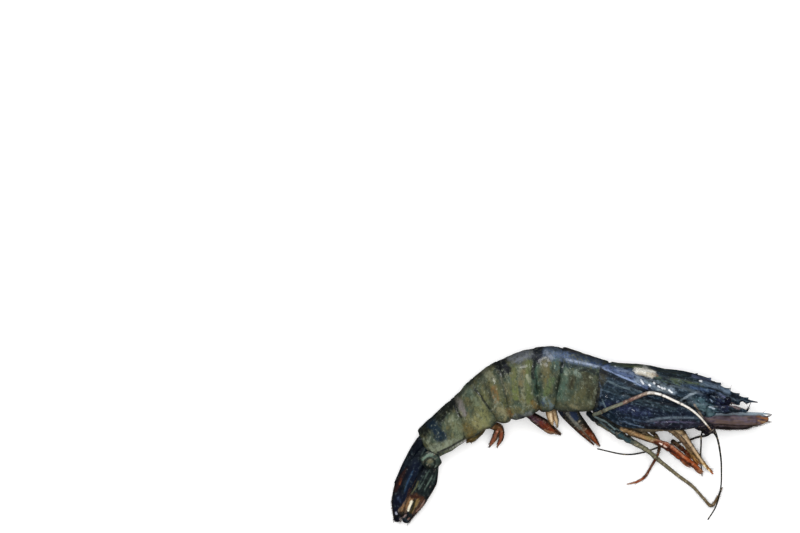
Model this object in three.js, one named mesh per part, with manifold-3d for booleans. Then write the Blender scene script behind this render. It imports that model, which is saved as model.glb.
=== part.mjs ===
import * as THREE from "three";
import { mergeVertices } from "three/addons/utils/BufferGeometryUtils.js";
import Module from "manifold-3d";

// A raw tiger prawn that lies on its left side, in millimetres. X runs from the tail to the head,
// Y from the belly to the back, and Z up from the surface that the prawn lies on. The origin is on
// that surface, under the middle of the outline.

const wasm = await Module();
wasm.setup();

// ---------------------------------------------------------------- driving dimensions

// Cuts across the body from the eyes to the tail: the points where each cut meets the back and
// the belly, half of the body's breadth there, and the height of the cut's middle.
const CUTS = [
  { back: [73, 30.5], belly: [69.5, 6], half: 8.5, middle: 13.6 }, // eyes
  { back: [60.5, 34.5], belly: [59.5, 3.5], half: 11.8, middle: 13.4 },
  { back: [46.5, 36.5], belly: [41, 3.5], half: 13.4, middle: 13.2 },
  { back: [30.5, 39.5], belly: [22.5, 5], half: 13.6, middle: 13.2 },
  { back: [15, 41.5], belly: [6.5, 13], half: 12.9, middle: 12.8 }, // rear of the carapace
  { back: [-10.5, 49], belly: [-15.5, 13.5], half: 12.9, middle: 12.6 }, // joint 1 to 2
  { back: [-26, 49], belly: [-23.5, 13], half: 12.6, middle: 12.3 }, // joint 2 to 3
  { back: [-47.5, 41], belly: [-39, 8], half: 11.8, middle: 11.5 }, // joint 3 to 4
  { back: [-60.5, 31.5], belly: [-47, 6.5], half: 10.6, middle: 10.3 }, // joint 4 to 5
  { back: [-71, 21], belly: [-63.5, -2.5], half: 9, middle: 8.7 }, // joint 5 to 6
  { back: [-90.5, 3], belly: [-79.5, -12], half: 6.6, middle: 6.4 }, // tail joint
];
const CARAPACE_CUT = 4; // the cut where the carapace ends and the first tail segment starts
const BODY_SIDES = 24;

const GAP = 0.35; // free space between neighbours
const DOME = 3; // how far a segment's front bulges into the segment before it
const COLLAR = 0.92; // breadth of that front, as a share of the cut
const SOCKET = 0.96; // inner breadth of the lip that covers it
const LIP = 1.01; // outer breadth of the lip
const BELLY_DENT = 0.3; // depth of the groove between the side plates, as a share of half the height
const BELLY_EDGE = 0.6; // where that groove ends, as a share of half the breadth
const BELLY_REACH = 1.14; // brings the side plates' lower edges down to the belly line
const SQUARE = [0.92, 0.86]; // exponents of the cut's outline, along its height and its breadth
const KEEL = 0.1; // how much narrower the back is than the belly
const SKIN = 0.98; // from this share of the way out, points may touch the surface
const CARAPACE_HALF = 12; // about half the breadth of the carapace and of the tail
const TAIL_HALF = 8;

const ROSTRUM = {
  thickness: 2.2,
  top: [[46, 34], [56, 35], [65, 33.6], [73, 30.6], [79, 27.2], [89, 21.9], [94, 19.9], [98.5, 19]],
  below: [[98.5, 18], [93, 17.8], [89, 18.7], [84, 19.2], [76, 20.5], [66, 23], [52, 28]],
  toothAt: [0.14, 0.34, 0.475, 0.585, 0.7, 0.805, 0.905], // shares of the top line
  toothRise: 1.3,
  toothLength: 2.6,
  toothFront: 0.3, // how much of its length is the steep front
};

const SHELL = { navy: 0x1d2b3a, olive: 0x5b6046, teal: 0x45564e, tail: 0x151d2c, eye: 0x07090c };
const LIMB = { olive: 0x6b6a4c, rust: 0x8c4326, tan: 0x9a7a55, dark: 0x1c1d20, lilac: 0x6f6a7a };

// ---------------------------------------------------------------- solids from three.js geometry

// Merges a geometry's vertices, drops flat triangles, and turns its faces outwards.
function closed(geometry) {
  geometry.deleteAttribute("normal");
  geometry.deleteAttribute("uv");
  const merged = mergeVertices(geometry, 1e-4);
  const place = merged.attributes.position;
  const source = merged.index.array;
  const corners = [];
  let volume = 0;
  const [a, b, c] = [new THREE.Vector3(), new THREE.Vector3(), new THREE.Vector3()];
  for (let i = 0; i < source.length; i += 3) {
    const [p, q, r] = source.slice(i, i + 3);
    if (p === q || q === r || r === p) continue;
    corners.push(p, q, r);
    a.fromBufferAttribute(place, p);
    b.fromBufferAttribute(place, q);
    c.fromBufferAttribute(place, r);
    volume += a.dot(b.cross(c));
  }
  if (volume < 0) corners.reverse();
  merged.setIndex(corners);
  return merged;
}

function toManifold(geometry) {
  return new wasm.Manifold(
    new wasm.Mesh({
      numProp: 3,
      vertProperties: new Float32Array(geometry.attributes.position.array),
      triVerts: new Uint32Array(geometry.index.array),
    }),
  );
}

function fromManifold(manifold) {
  const { vertProperties, triVerts } = manifold.getMesh();
  const geometry = new THREE.BufferGeometry();
  geometry.setAttribute("position", new THREE.BufferAttribute(vertProperties, 3));
  geometry.setIndex(Array.from(triVerts));
  return geometry;
}

// Keeps the largest of the pieces that a cut leaves.
function largest(manifold) {
  const pieces = manifold.decompose();
  return pieces.reduce((best, piece) => (piece.volume() > best.volume() ? piece : best));
}

// ---------------------------------------------------------------- the body's shape

const backLine = new THREE.CatmullRomCurve3(
  CUTS.map(({ back, half }) => new THREE.Vector3(...back, half)),
);
const bellyLine = new THREE.CatmullRomCurve3(
  CUTS.map(({ belly, middle }) => new THREE.Vector3(...belly, middle)),
);

// How far along the body each cut lies, measured on the line through the cuts' middles.
const cutAt = CUTS.map(() => 0);
for (let i = 1; i < CUTS.length; i += 1) {
  const middle = ({ back: [bx, by], belly: [vx, vy] }) => new THREE.Vector2((bx + vx) / 2, (by + vy) / 2);
  cutAt[i] = cutAt[i - 1] + middle(CUTS[i]).distanceTo(middle(CUTS[i - 1]));
}

// The share of the body's curves at a distance along it; it runs on past both ends.
function shareAt(along) {
  let i = 0;
  while (i < CUTS.length - 2 && along > cutAt[i + 1]) i += 1;
  return (i + (along - cutAt[i]) / (cutAt[i + 1] - cutAt[i])) / (CUTS.length - 1);
}

const signedPower = (value, power) => Math.sign(value) * Math.abs(value) ** power;

// A point in the body: along it in millimetres, at an angle from the back, and at a share of the
// way from the middle to the skin.
function bodyPoint(along, angle, share) {
  const t = shareAt(along);
  const inside = THREE.MathUtils.clamp(t, 0, 1);
  const back = backLine.getPoint(inside);
  const belly = bellyLine.getPoint(inside);
  const [half, middle] = [back.z, belly.z];
  const centre = new THREE.Vector3((back.x + belly.x) / 2, (back.y + belly.y) / 2, middle);
  const rise = new THREE.Vector3((back.x - belly.x) / 2, (back.y - belly.y) / 2, 0);
  const beyond = (t - inside) * (CUTS.length - 1);
  const step = new THREE.Vector3(rise.y, -rise.x, 0).normalize();
  centre.addScaledVector(step, -beyond * (t > 1 ? cutAt.at(-1) - cutAt.at(-2) : cutAt[1]));

  const [tall, broad] = SQUARE;
  const towardsBack = signedPower(Math.cos(angle), tall) * share;
  const up = towardsBack < 0 ? towardsBack * BELLY_REACH : towardsBack;
  const across = signedPower(Math.sin(angle), broad) * share * (1 - KEEL * Math.cos(angle));
  const groove = Math.max(0, 1 - (across / BELLY_EDGE) ** 2);
  const dent = up < 0 ? BELLY_DENT * groove * -up : 0;
  const point = centre.addScaledVector(rise, up + dent);
  point.z += across * half;
  point.z = Math.max(point.z, share > SKIN ? 0 : GAP);
  return point;
}

// A solid of the body from a profile of [share, along] pairs that starts and ends on the middle line.
function bodySolid(profile) {
  const points = profile.map(([share, along]) => new THREE.Vector2(share, along));
  const lathe = new THREE.LatheGeometry(points, BODY_SIDES);
  const place = lathe.attributes.position;
  for (let i = 0; i < place.count; i += 1) {
    const share = Math.hypot(place.getX(i), place.getZ(i));
    const angle = Math.atan2(place.getX(i), place.getZ(i));
    const point = bodyPoint(place.getY(i), angle, share);
    place.setXYZ(i, point.x, point.y, point.z);
  }
  return closed(lathe);
}

// The carapace's profile: open-mouthed at the head, and a lip over the first segment at the rear.
function carapaceProfile(swell = 0) {
  const front = cutAt[0];
  const rear = cutAt[CARAPACE_CUT];
  const grow = swell / CARAPACE_HALF;
  const skin = [0.06, 0.16, 0.28, 0.42, 0.56, 0.7, 0.84];
  return [
    [0, front + 3 - swell],
    [0.6, front + 2.4 - swell],
    [0.86, front + 0.6 - swell],
    [0.96 + grow, front - swell],
    ...skin.map((s) => [1 + grow, front + s * (rear - front)]),
    [LIP + grow, rear - 1],
    [0.99 + grow, rear + 0.4 + swell],
    [SOCKET - 0.01, rear + 0.2 + swell],
    [0.86, rear - 1.6 + swell],
    [0.55, rear - 2.9 + swell],
    [0, rear - 3.6 + swell],
  ];
}

// A tail segment's profile, from one cut to the next. The last one has a plain rear.
function segmentProfile(cut, swell = 0) {
  const front = cutAt[cut];
  const rear = cutAt[cut + 1];
  const grow = swell / TAIL_HALF;
  const last = cut === CUTS.length - 2;
  const start = [
    [0, front - DOME - swell],
    [0.55, front - 0.77 * DOME - swell],
    [0.85, front - 0.3 * DOME - swell],
    [COLLAR + grow, front + 0.8],
    [0.985 + grow, front + 3],
    [1 + grow, (front + rear) / 2],
    [LIP + grow, rear - 1.5],
  ];
  if (last) {
    const tip = rear + swell;
    return [...start, [0.97, tip], [0.8, tip + 2], [0.5, tip + 3.2], [0, tip + 3.7]];
  }
  const lip = [[0.995 + grow, rear + 0.4 + swell], [SOCKET, rear + 0.2 + swell]];
  return [...start, ...lip, [0.86, rear - 1.6], [0.55, rear - 2.9], [0, rear - 3.6]];
}

// ---------------------------------------------------------------- limbs and leaves

// A closed tube through points [x, y, z, half breadth in the XY plane, half depth].
function strand(points, { sides = 8, steps = 3 } = {}) {
  const path = new THREE.CatmullRomCurve3(
    points.map(([x, y, z]) => new THREE.Vector3(x, y, z)),
    false,
    "centripetal",
  );
  const rings = (points.length - 1) * steps;
  const profile = [new THREE.Vector2(0, 0)];
  for (let ring = 0; ring <= rings; ring += 1) profile.push(new THREE.Vector2(1, ring / rings));
  profile.push(new THREE.Vector2(0, 1));
  const tube = new THREE.LatheGeometry(profile, sides);
  const place = tube.attributes.position;
  const up = new THREE.Vector3(0, 0, 1);
  for (let i = 0; i < place.count; i += 1) {
    const t = place.getY(i);
    const knot = Math.min(Math.floor(t * (points.length - 1)), points.length - 2);
    const mix = t * (points.length - 1) - knot;
    const breadth = THREE.MathUtils.lerp(points[knot][3], points[knot + 1][3], mix);
    const depth = THREE.MathUtils.lerp(points[knot][4], points[knot + 1][4], mix);
    const ahead = path.getTangent(t);
    const side = new THREE.Vector3().crossVectors(up, ahead).normalize();
    const lift = new THREE.Vector3().crossVectors(ahead, side);
    const point = path.getPoint(t);
    point.addScaledVector(side, place.getX(i) * breadth);
    point.addScaledVector(lift, place.getZ(i) * depth);
    place.setXYZ(i, point.x, point.y, point.z);
  }
  return closed(tube);
}

// The same route, thicker and longer by the free gap on every side.
function grown(points) {
  const swollen = points.map(([x, y, z, breadth, depth]) => [x, y, z, breadth + GAP, depth + GAP]);
  for (const [end, inner] of [[0, 1], [points.length - 1, points.length - 2]]) {
    const tip = new THREE.Vector3(...points[end]);
    const outwards = tip.clone().sub(new THREE.Vector3(...points[inner])).setLength(GAP);
    swollen[end] = [...tip.add(outwards).toArray(), ...swollen[end].slice(3)];
  }
  return swollen;
}

// The far side's limb lies under the near one: the same route, moved, and pressed towards the surface.
const underneath = (points, [dx, dy], lift, press) =>
  points.map(([x, y, z, breadth, depth]) => [x + dx, y + dy, lift + z * press, breadth, depth * 0.9]);

// ---------------------------------------------------------------- the scene

const prawn = new THREE.Group();

function finish(colour, roughness) {
  return new THREE.MeshStandardMaterial({ color: colour, roughness, metalness: 0 });
}

function add(name, geometry, colour, roughness = 0.3) {
  const mesh = new THREE.Mesh(geometry, finish(colour, roughness));
  mesh.name = name;
  prawn.add(mesh);
  return mesh;
}

// The toothed beak in the carapace's middle plane.
function rostrumSolid(swell = 0) {
  const { top, below, toothAt, toothRise, toothLength, toothFront, thickness } = ROSTRUM;
  const line = new THREE.SplineCurve(top.map(([x, y]) => new THREE.Vector2(x, y)));
  const reach = line.getLength();
  const [back, front] = [toothLength / reach, toothFront / reach];
  const teeth = toothAt.flatMap((at) => [[at - back, 0], [at, toothRise], [at + front, 0]]);
  const edge = [[0, 0], ...teeth, [1, 0]].map(([at, rise]) => {
    const point = line.getPointAt(at);
    const ahead = line.getTangentAt(at);
    return new THREE.Vector2(point.x - ahead.y * rise, point.y + ahead.x * rise);
  });
  const keel = below.map(([x, y]) => new THREE.Vector2(x, y - swell));
  const outline = new THREE.Shape([...edge, ...keel]);
  const depth = thickness + 2 * swell;
  const blade = new THREE.ExtrudeGeometry(outline, { depth, bevelEnabled: false });
  blade.translate(0, 0, CUTS[0].middle - depth / 2);
  return closed(blade);
}

// The carapace is one shell with its beak. keepOut is all that the limbs have to stay clear of.
function carapaceSolid(swell) {
  return toManifold(bodySolid(carapaceProfile(swell))).add(toManifold(rostrumSolid(swell)));
}
const carapace = carapaceSolid(0);
const carapaceMesh = add("carapace", fromManifold(carapace), SHELL.navy, 0.25);

let keepOut = carapaceSolid(GAP);
for (let cut = CARAPACE_CUT; cut < CUTS.length - 1; cut += 1) {
  const number = cut - CARAPACE_CUT + 1;
  add(`tail_segment_${number}`, bodySolid(segmentProfile(cut)), number < 3 ? SHELL.teal : SHELL.olive);
  keepOut = keepOut.add(toManifold(bodySolid(segmentProfile(cut, GAP))));
}

// What grows out of the body starts inside it and is cut back to a small gap from its skin.
function addLimb(name, geometry, colour) {
  const trimmed = largest(toManifold(geometry).subtract(keepOut));
  return add(name, fromManifold(trimmed), colour);
}

// The underbody carries the walking legs, in the groove between the carapace's lower edges.
const UNDERBODY = [
  [10, 14.5, 12.8, 3, 4.4],
  [18, 11.6, 13, 4.4, 5.6],
  [30, 9.4, 13.2, 4.4, 6.2],
  [46, 8.8, 13.2, 4, 5.8],
  [60, 9.4, 13.4, 3.4, 4.6],
  [68, 10.2, 13.6, 2.4, 3],
];
// The head core closes the carapace's mouth and carries the eyes and the feelers.
const HEAD_CORE = [
  [64, 17, 13.6, 8.6, 7.4],
  [71, 17.2, 13.6, 8.4, 7],
  [76.5, 17.4, 13.6, 6.4, 5.4],
  [80.5, 17.6, 13.6, 3.4, 3.2],
];
const CORE_SECTION = { sides: 12, steps: 2 };
for (const [name, points] of [["underbody", UNDERBODY], ["head_core", HEAD_CORE]]) {
  addLimb(name, strand(points, CORE_SECTION), SHELL.navy);
  keepOut = keepOut.add(toManifold(strand(grown(points), CORE_SECTION)));
}

// ---------------------------------------------------------------- head

const EYE = { base: [70, 21.6], bulb: [80.8, 19.8], stalk: 2.2, radius: 3.2, spread: 6.6 };
const SCALE = [
  [67, 9, 16, 1.6, 0.8],
  [74, 9.6, 16.5, 3.4, 0.8],
  [88, 9.2, 17, 3.9, 0.7],
  [99, 9, 16.8, 3.4, 0.6],
  [104.5, 9.3, 16.4, 1.2, 0.4],
];
const SCALE_SPINE = [
  [82, 12.4, 17, 0.7, 0.7],
  [98, 12.3, 17, 0.7, 0.7],
  [103, 12.1, 17, 0.5, 0.5],
  [106.5, 11.8, 16.8, 0.2, 0.2],
];
const ANTENNULE = [
  [68, 16, 18, 2.2, 1.8],
  [77, 14.2, 20.2, 2.2, 1.7],
  [84, 14.2, 20.2, 1.8, 1.5],
  [90, 14.2, 19.6, 1.4, 1.1],
  [92.5, 15.2, 19, 0.5, 0.5],
  [94.2, 18.2, 18.4, 0.3, 0.3],
];
const LEFT_ANTENNULE_WHIP = [
  [87, 13.2, 11.6, 0.8, 0.8],
  [84, 10.2, 11.8, 0.6, 0.6],
  [77, 7.6, 12, 0.55, 0.55],
  [70, 6.2, 11.4, 0.55, 0.55],
  [67.4, 1, 10, 0.5, 0.5],
  [67.1, -6, 7.4, 0.48, 0.48],
  [67, -13, 5, 0.45, 0.45],
  [68, -23.5, 2.6, 0.3, 0.3],
];
const PEDUNCLE = [
  [64, 7.6, 18.4, 2.2, 1.8],
  [70, 5, 19.6, 2.7, 1.9],
  [74, 2, 17.4, 2.2, 1.8],
];
const RIGHT_WHIP = [
  [73.4, 3, 17.4, 1.2, 1],
  [75.6, -1.2, 15.4, 0.6, 0.6],
  [78, -12.5, 10.5, 0.5, 0.5],
  [78.5, -21, 7.8, 0.45, 0.45],
  [78.2, -30, 5.8, 0.42, 0.42],
  [75.5, -40.5, 4, 0.4, 0.4],
  [71.2, -48, 0.7, 0.35, 0.35],
];
const LEFT_WHIP = [
  [72.6, 1.6, 6.7, 1, 0.9],
  [70, -0.4, 5.2, 0.7, 0.7],
  [66, -1.2, 3, 0.6, 0.6],
  [60, -3.3, 1, 0.55, 0.55],
  [44, -7, 0.7, 0.5, 0.5],
  [36, -9.8, 0.7, 0.45, 0.45],
  [25.5, -11.2, 0.7, 0.42, 0.42],
  [9, -8, 0.6, 0.35, 0.35],
];

for (const [side, sign] of [["right", 1], ["left", -1]]) {
  const { base, bulb, stalk, radius, spread } = EYE;
  const height = CUTS[0].middle + sign * spread;
  const root = [...base, CUTS[0].middle + sign * 4, stalk, stalk];
  const neck = strand([root, [...bulb, height, stalk * 0.9, stalk * 0.9]]);
  const ball = closed(new THREE.SphereGeometry(radius, 12, 8).translate(...bulb, height));
  addLimb(`eye_${side}`, fromManifold(toManifold(ball).add(toManifold(neck))), SHELL.eye);
}

const scale = toManifold(strand(SCALE, { sides: 10 })).add(toManifold(strand(SCALE_SPINE)));
const farScale = underneath(SCALE, [-6.5, -2.4], 5.4, 0.25);
addLimb("antennal_scale_right", fromManifold(scale), LIMB.lilac);
addLimb("antennal_scale_left", strand(farScale, { sides: 10, steps: 2 }), LIMB.lilac);

const farAntennule = toManifold(strand(underneath(ANTENNULE.slice(0, 4), [-1.5, -1], 3, 0.45)))
  .add(toManifold(strand(LEFT_ANTENNULE_WHIP, { sides: 5, steps: 2 })));
addLimb("antennule_right", strand(ANTENNULE), SHELL.navy);
addLimb("antennule_left", fromManifold(farAntennule), SHELL.navy);

for (const [side, base, whip] of [
  ["right", PEDUNCLE, RIGHT_WHIP],
  ["left", underneath(PEDUNCLE, [-1.5, -1], -0.3, 0.36), LEFT_WHIP],
]) {
  const antenna = toManifold(strand(base)).add(toManifold(strand(whip, { sides: 5, steps: 2 })));
  addLimb(`antenna_${side}`, fromManifold(antenna), LIMB.dark);
}

// ---------------------------------------------------------------- walking legs

const LEGS = {
  maxilliped_right: {
    colour: LIMB.tan,
    route: [
      [47, 6, 16.5, 1.6, 1.5],
      [52, 3.4, 17.4, 1.6, 1.5],
      [56.5, 1, 16.4, 1.5, 1.4],
      [60.5, -5, 14, 1.3, 1.2],
      [65, -11.5, 11.5, 1.2, 1.1],
      [69, -17, 9.8, 1, 0.9],
      [74, -22, 8.4, 0.3, 0.3],
    ],
  },
  leg_1_right: {
    colour: LIMB.tan,
    route: [
      [45, 6, 13, 1.5, 1.5],
      [52.2, 1.2, 12.8, 1.5, 1.4],
      [58.2, -4.4, 10.6, 1.3, 1.2],
      [62.2, -10.2, 8.4, 1.1, 1],
      [66.8, -16.6, 7, 0.3, 0.3],
    ],
  },
  leg_2_right: {
    colour: LIMB.rust,
    route: [
      [30, 5, 11.6, 1.6, 1.6],
      [40.5, -3, 10, 1.5, 1.5],
      [48.5, -7.6, 8.4, 1.4, 1.3],
      [55, -12.8, 6.8, 1.2, 1.2],
      [61.4, -17.8, 5.4, 0.4, 0.4],
    ],
  },
  leg_3_right: {
    colour: LIMB.rust,
    route: [
      [16, 9, 16, 1.7, 1.7],
      [24, 3.4, 16, 1.8, 1.7],
      [33, -0.6, 15, 1.7, 1.6],
      [42, -3.6, 13.6, 1.6, 1.5],
      [49, -6.2, 12, 1.5, 1.4],
      [57, -12, 9.8, 1.4, 1.3],
      [64, -17.2, 7.8, 1.2, 1.1],
      [68.5, -21, 6.4, 0.3, 0.3],
    ],
  },
  leg_4_right: {
    colour: LIMB.olive,
    route: [
      [11, 9.6, 12.4, 1.8, 1.8],
      [21, 0.8, 11.6, 1.9, 1.8],
      [29, -4, 11, 1.6, 1.5],
      [36, -8, 10.4, 1.3, 1.2],
      [42, -13, 9.6, 1.2, 1.1],
      [54.5, -23, 6.6, 1, 1],
      [62.5, -29, 5, 0.9, 0.9],
      [68.5, -35.5, 3.6, 0.8, 0.8],
      [73.2, -40, 2.4, 0.9, 0.8],
      [76.4, -36, 1.9, 0.8, 0.7],
      [79.5, -29.5, 1.4, 0.25, 0.25],
    ],
  },
  leg_5_left: {
    colour: LIMB.olive,
    route: [
      [3, 13.2, 8, 1.6, 1.6],
      [8.4, 8.2, 7, 1.7, 1.6],
      [16.4, 3, 5.8, 1.6, 1.4],
      [26.4, -2.8, 4.2, 1.3, 1.1],
      [35.5, -7.5, 3.6, 0.4, 0.4],
    ],
  },
  leg_4_left: {
    colour: LIMB.rust,
    route: [
      [36, 5, 8.6, 1.4, 1.4],
      [41, 0.4, 7.4, 1.2, 1.2],
      [43.8, -4.6, 5.4, 1, 1],
      [43, -11, 3.6, 0.8, 0.8],
      [39, -18.5, 2.2, 0.7, 0.7],
      [36, -23.5, 1.6, 0.8, 0.7],
      [32, -26.3, 1.3, 0.7, 0.6],
      [25.5, -28, 1, 0.25, 0.25],
    ],
  },
};

// The far side's legs that lie under the near side's bundle: which leg each follows from which
// point on, how it is moved, and how it is pressed down.
const HIDDEN_LEGS = {
  leg_3_left: { over: "leg_3_right", from: 4, move: [-0.5, -0.6], lift: 0.6, press: 0.2 },
  leg_2_left: { over: "leg_2_right", from: 2, move: [2, 4.6], lift: 1.6, press: 0.3 },
  leg_1_left: { over: "leg_1_right", from: 0, move: [-1, 0.4], lift: 2.4, press: 0.3 },
  maxilliped_left: { over: "maxilliped_right", from: 1, move: [0, 1], lift: 0.8, press: 0.2 },
};

for (const [name, { route, colour }] of Object.entries(LEGS)) {
  addLimb(name, strand(route, { sides: 7, steps: 2 }), colour);
}
for (const [name, { over, from, move, lift, press }] of Object.entries(HIDDEN_LEGS)) {
  const { route, colour } = LEGS[over];
  const lowered = underneath(route.slice(from), move, lift, press);
  addLimb(name, strand(lowered, { sides: 7, steps: 2 }), colour);
}

// The near fifth leg is folded up over the carapace and rests on it.
const FOLDED_LEG = {
  route: [[5.5, 11.6], [9, 12.6], [14, 15], [22, 18.2], [30.5, 21.8], [36.5, 24], [42.5, 23.4], [50.5, 20],
    [59.5, 15.4], [65, 11], [68.5, 7.2], [71.8, 3.2]],
  thick: 1.1, // half the breadth up to the elbow
  thin: 0.8,
  elbow: 6,
  lowest: 21.1, // where it leaves the carapace's edge
  clearance: 0.8,
};

function foldedLeg({ route, thick, thin, elbow, lowest, clearance }) {
  const ray = new THREE.Raycaster();
  const down = new THREE.Vector3(0, 0, -1);
  return strand(
    route.map(([x, y], i) => {
      ray.set(new THREE.Vector3(x, y, 100), down);
      const [hit] = ray.intersectObject(carapaceMesh);
      const half = i < elbow ? thick : thin;
      return [x, y, Math.max(hit ? hit.point.z : 0, lowest) + clearance + half, half, half];
    }),
    { sides: 7, steps: 2 },
  );
}
addLimb("leg_5_right", foldedLeg(FOLDED_LEG), LIMB.olive);

// ---------------------------------------------------------------- swimming legs

// Each swimming leg is two blades that grow together at the root. A blade is a row of points
// [x, y, half breadth]. The near leg of a pair lies over the far one, whose root and tip are moved
// by the two pairs in `far`. `hang` is how far the pair droops to the surface.
const SWIMMERETS = [
  {
    blades: [
      [[-7, 16, 3.4], [-4.6, 11.4, 3.8], [1.2, 4.8, 2.5], [6.4, -1.2, 1.7], [10.5, -6.6, 0.4]],
      [[-9.6, 14, 1.7], [-7, 9.8, 1.8], [0, 1.6, 1.1], [7.2, -5.8, 0.3]],
    ],
    far: [-2.8, 0.8, -0.8, 0.6],
    hang: 1,
  },
  {
    blades: [
      [[-19, 16, 1.8], [-18, 11.6, 2.1], [-17, 8, 1.6], [-16.2, 5.4, 0.3]],
      [[-16, 15, 1.4], [-15.2, 11, 1.4], [-13.9, 7, 0.9], [-13.6, 4, 0.3]],
    ],
    far: [0.4, 0.8, 0.2, 1.4],
    hang: 0.4,
  },
  {
    blades: [
      [[-34, 14.8, 2], [-27.4, 10.2, 2.2], [-20.8, 6, 2.5], [-16.4, 2.8, 1.7], [-11.4, -0.2, 0.3]],
      [[-28.6, 9.8, 1.5], [-22.4, 5, 1.5], [-18, 1.9, 1.3], [-15.6, 0.6, 0.3]],
    ],
    far: [0.2, 0.4, 0.3, 0.6],
    hang: 1,
  },
  {
    blades: [
      [[-55.6, 8, 1.5], [-50.6, 5.2, 1.8], [-46, 3, 1.9], [-45, -1.6, 1.5], [-47.5, -7.2, 0.3]],
      [[-47, 3, 1.5], [-48.6, -1.8, 1.5], [-52, -7.3, 0.3]],
    ],
    far: [-0.2, 0.8, 0.4, 1.6],
    hang: 1,
  },
  {
    blades: [
      [[-55, 7, 2.4], [-58.6, 1.6, 2.7], [-62, -2, 2], [-64.6, -4.4, 0.4]],
      [[-57.6, 2, 1.8], [-60.4, -2, 1.4], [-62, -4.6, 0.3]],
    ],
    far: [1.2, 0.4, 1.4, 0.6],
    hang: 0.7,
  },
];
const SWIMMERET_COLOURS = [LIMB.rust, LIMB.tan, LIMB.rust, LIMB.rust, LIMB.olive];
const SWIMMERET = {
  rootDepth: 1.6, depth: 0.9, tipDepth: 0.3, over: 3.2, under: 0.6, nearFoot: 1.5, farFoot: 1.4,
};

function swimmeret(blades, [rx, ry, tx, ty], top, drop) {
  const { rootDepth, depth, tipDepth, under } = SWIMMERET;
  return blades
    .map((route, which) => {
      const last = route.length - 1;
      const points = route.map(([x, y, half], i) => {
        const share = i / last;
        const thick = [rootDepth, depth, tipDepth][i === 0 ? 0 : i === last ? 2 : 1];
        const [dx, dy] = [rx + (tx - rx) * share, ry + (ty - ry) * share];
        return [x + dx, y + dy, top - drop * share - which * under, half, thick];
      });
      return toManifold(strand(points, { sides: 6, steps: 2 }));
    })
    .reduce((whole, blade) => whole.add(blade));
}

SWIMMERETS.forEach(({ blades, far, hang }, i) => {
  const { middle } = CUTS[CARAPACE_CUT + 1 + i];
  const { over, nearFoot, farFoot } = SWIMMERET;
  const near = swimmeret(blades, [0, 0, 0, 0], middle + over, (middle - nearFoot) * hang);
  const below = swimmeret(blades, far, middle - over, (middle - over - farFoot) * hang);
  addLimb(`swimmeret_${i + 1}_right`, fromManifold(near), SWIMMERET_COLOURS[i]);
  addLimb(`swimmeret_${i + 1}_left`, fromManifold(below), SWIMMERET_COLOURS[i]);
});

// ---------------------------------------------------------------- tail fan

const TELSON = [
  [-88, -1, 6.6, 3, 3.6],
  [-93, -7.5, 6.4, 2.6, 3.4],
  [-99, -17, 5.8, 1.7, 2.2],
  [-105, -27.3, 5, 0.3, 0.3],
];
const FAN = {
  base: [
    [-82, -9, 10.6, 2.8, 2],
    [-82.6, -14, 11, 4, 1.9],
    [-84.6, -18.6, 10.6, 3.4, 1.4],
  ],
  outer: [
    [-83.4, -15, 8.4, 2.8, 0.7],
    [-87.2, -26, 8.4, 5.7, 0.8],
    [-93, -37, 7.4, 5.2, 0.7],
    [-99.4, -49.4, 5.6, 1.8, 0.4],
  ],
  inner: [
    [-88, -8.4, 6.6, 3, 0.7],
    [-93, -17, 6.6, 5.2, 0.7],
    [-98.2, -28, 6, 6.2, 0.7],
    [-101.4, -38, 5, 5, 0.6],
    [-103.4, -48.8, 3.6, 1.4, 0.4],
  ],
};
const FAR_FAN = {
  base: { move: [0.5, -1], lift: 1.8 },
  outer: { move: [0.9, 0.8], lift: -0.8 },
  inner: { move: [-0.4, -0.4], lift: 1.3 },
};
// The spike fills the space that the folded leaves leave between them.
for (const [part, { move, lift }] of Object.entries(FAR_FAN)) {
  const far = underneath(FAN[part], move, lift, 0.24);
  for (const [side, points] of [["right", FAN[part]], ["left", far]]) {
    addLimb(`uropod_${part}_${side}`, strand(points, { sides: 10 }), SHELL.tail);
    keepOut = keepOut.add(toManifold(strand(grown(points), { sides: 10 })));
  }
}
addLimb("telson", strand(TELSON), SHELL.tail);

export default prawn;
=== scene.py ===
# %% [markdown]
# # A raw tiger prawn, lying on its left side
#
# A prawn is a stack of thin, wet shells. One long shell covers the head and the breast, six rings
# overlap down the tail like roof tiles, and dozens of jointed legs, feelers and leaf-shaped
# swimming legs hang from the belly edge. This lesson dresses the plain solids of the model with
# shells, limbs, bristles and wet mottled skin. Everything is in metres inside Blender, but the
# sizes below are written in millimetres, which is how one would measure a prawn.

# %% Load the frame
import math

import bpy
import numpy as np
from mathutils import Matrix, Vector, noise
from mathutils.bvhtree import BVHTree


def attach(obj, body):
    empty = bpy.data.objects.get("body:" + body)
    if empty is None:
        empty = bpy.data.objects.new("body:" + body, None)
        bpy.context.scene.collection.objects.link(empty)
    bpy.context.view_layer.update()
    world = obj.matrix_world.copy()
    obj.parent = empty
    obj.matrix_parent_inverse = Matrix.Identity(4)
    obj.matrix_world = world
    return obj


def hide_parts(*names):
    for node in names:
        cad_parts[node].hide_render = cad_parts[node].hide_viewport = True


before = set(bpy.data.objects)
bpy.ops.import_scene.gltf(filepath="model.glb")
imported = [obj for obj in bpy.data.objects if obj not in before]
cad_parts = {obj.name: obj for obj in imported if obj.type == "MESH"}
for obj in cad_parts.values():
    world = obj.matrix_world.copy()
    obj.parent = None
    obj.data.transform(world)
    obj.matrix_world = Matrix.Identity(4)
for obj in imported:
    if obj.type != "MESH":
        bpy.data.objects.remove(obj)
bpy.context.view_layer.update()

MM = 0.001
TABLE_GAP = 0.02  # mm that every point stays above the table
print("solids in the frame:", len(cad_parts))

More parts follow.
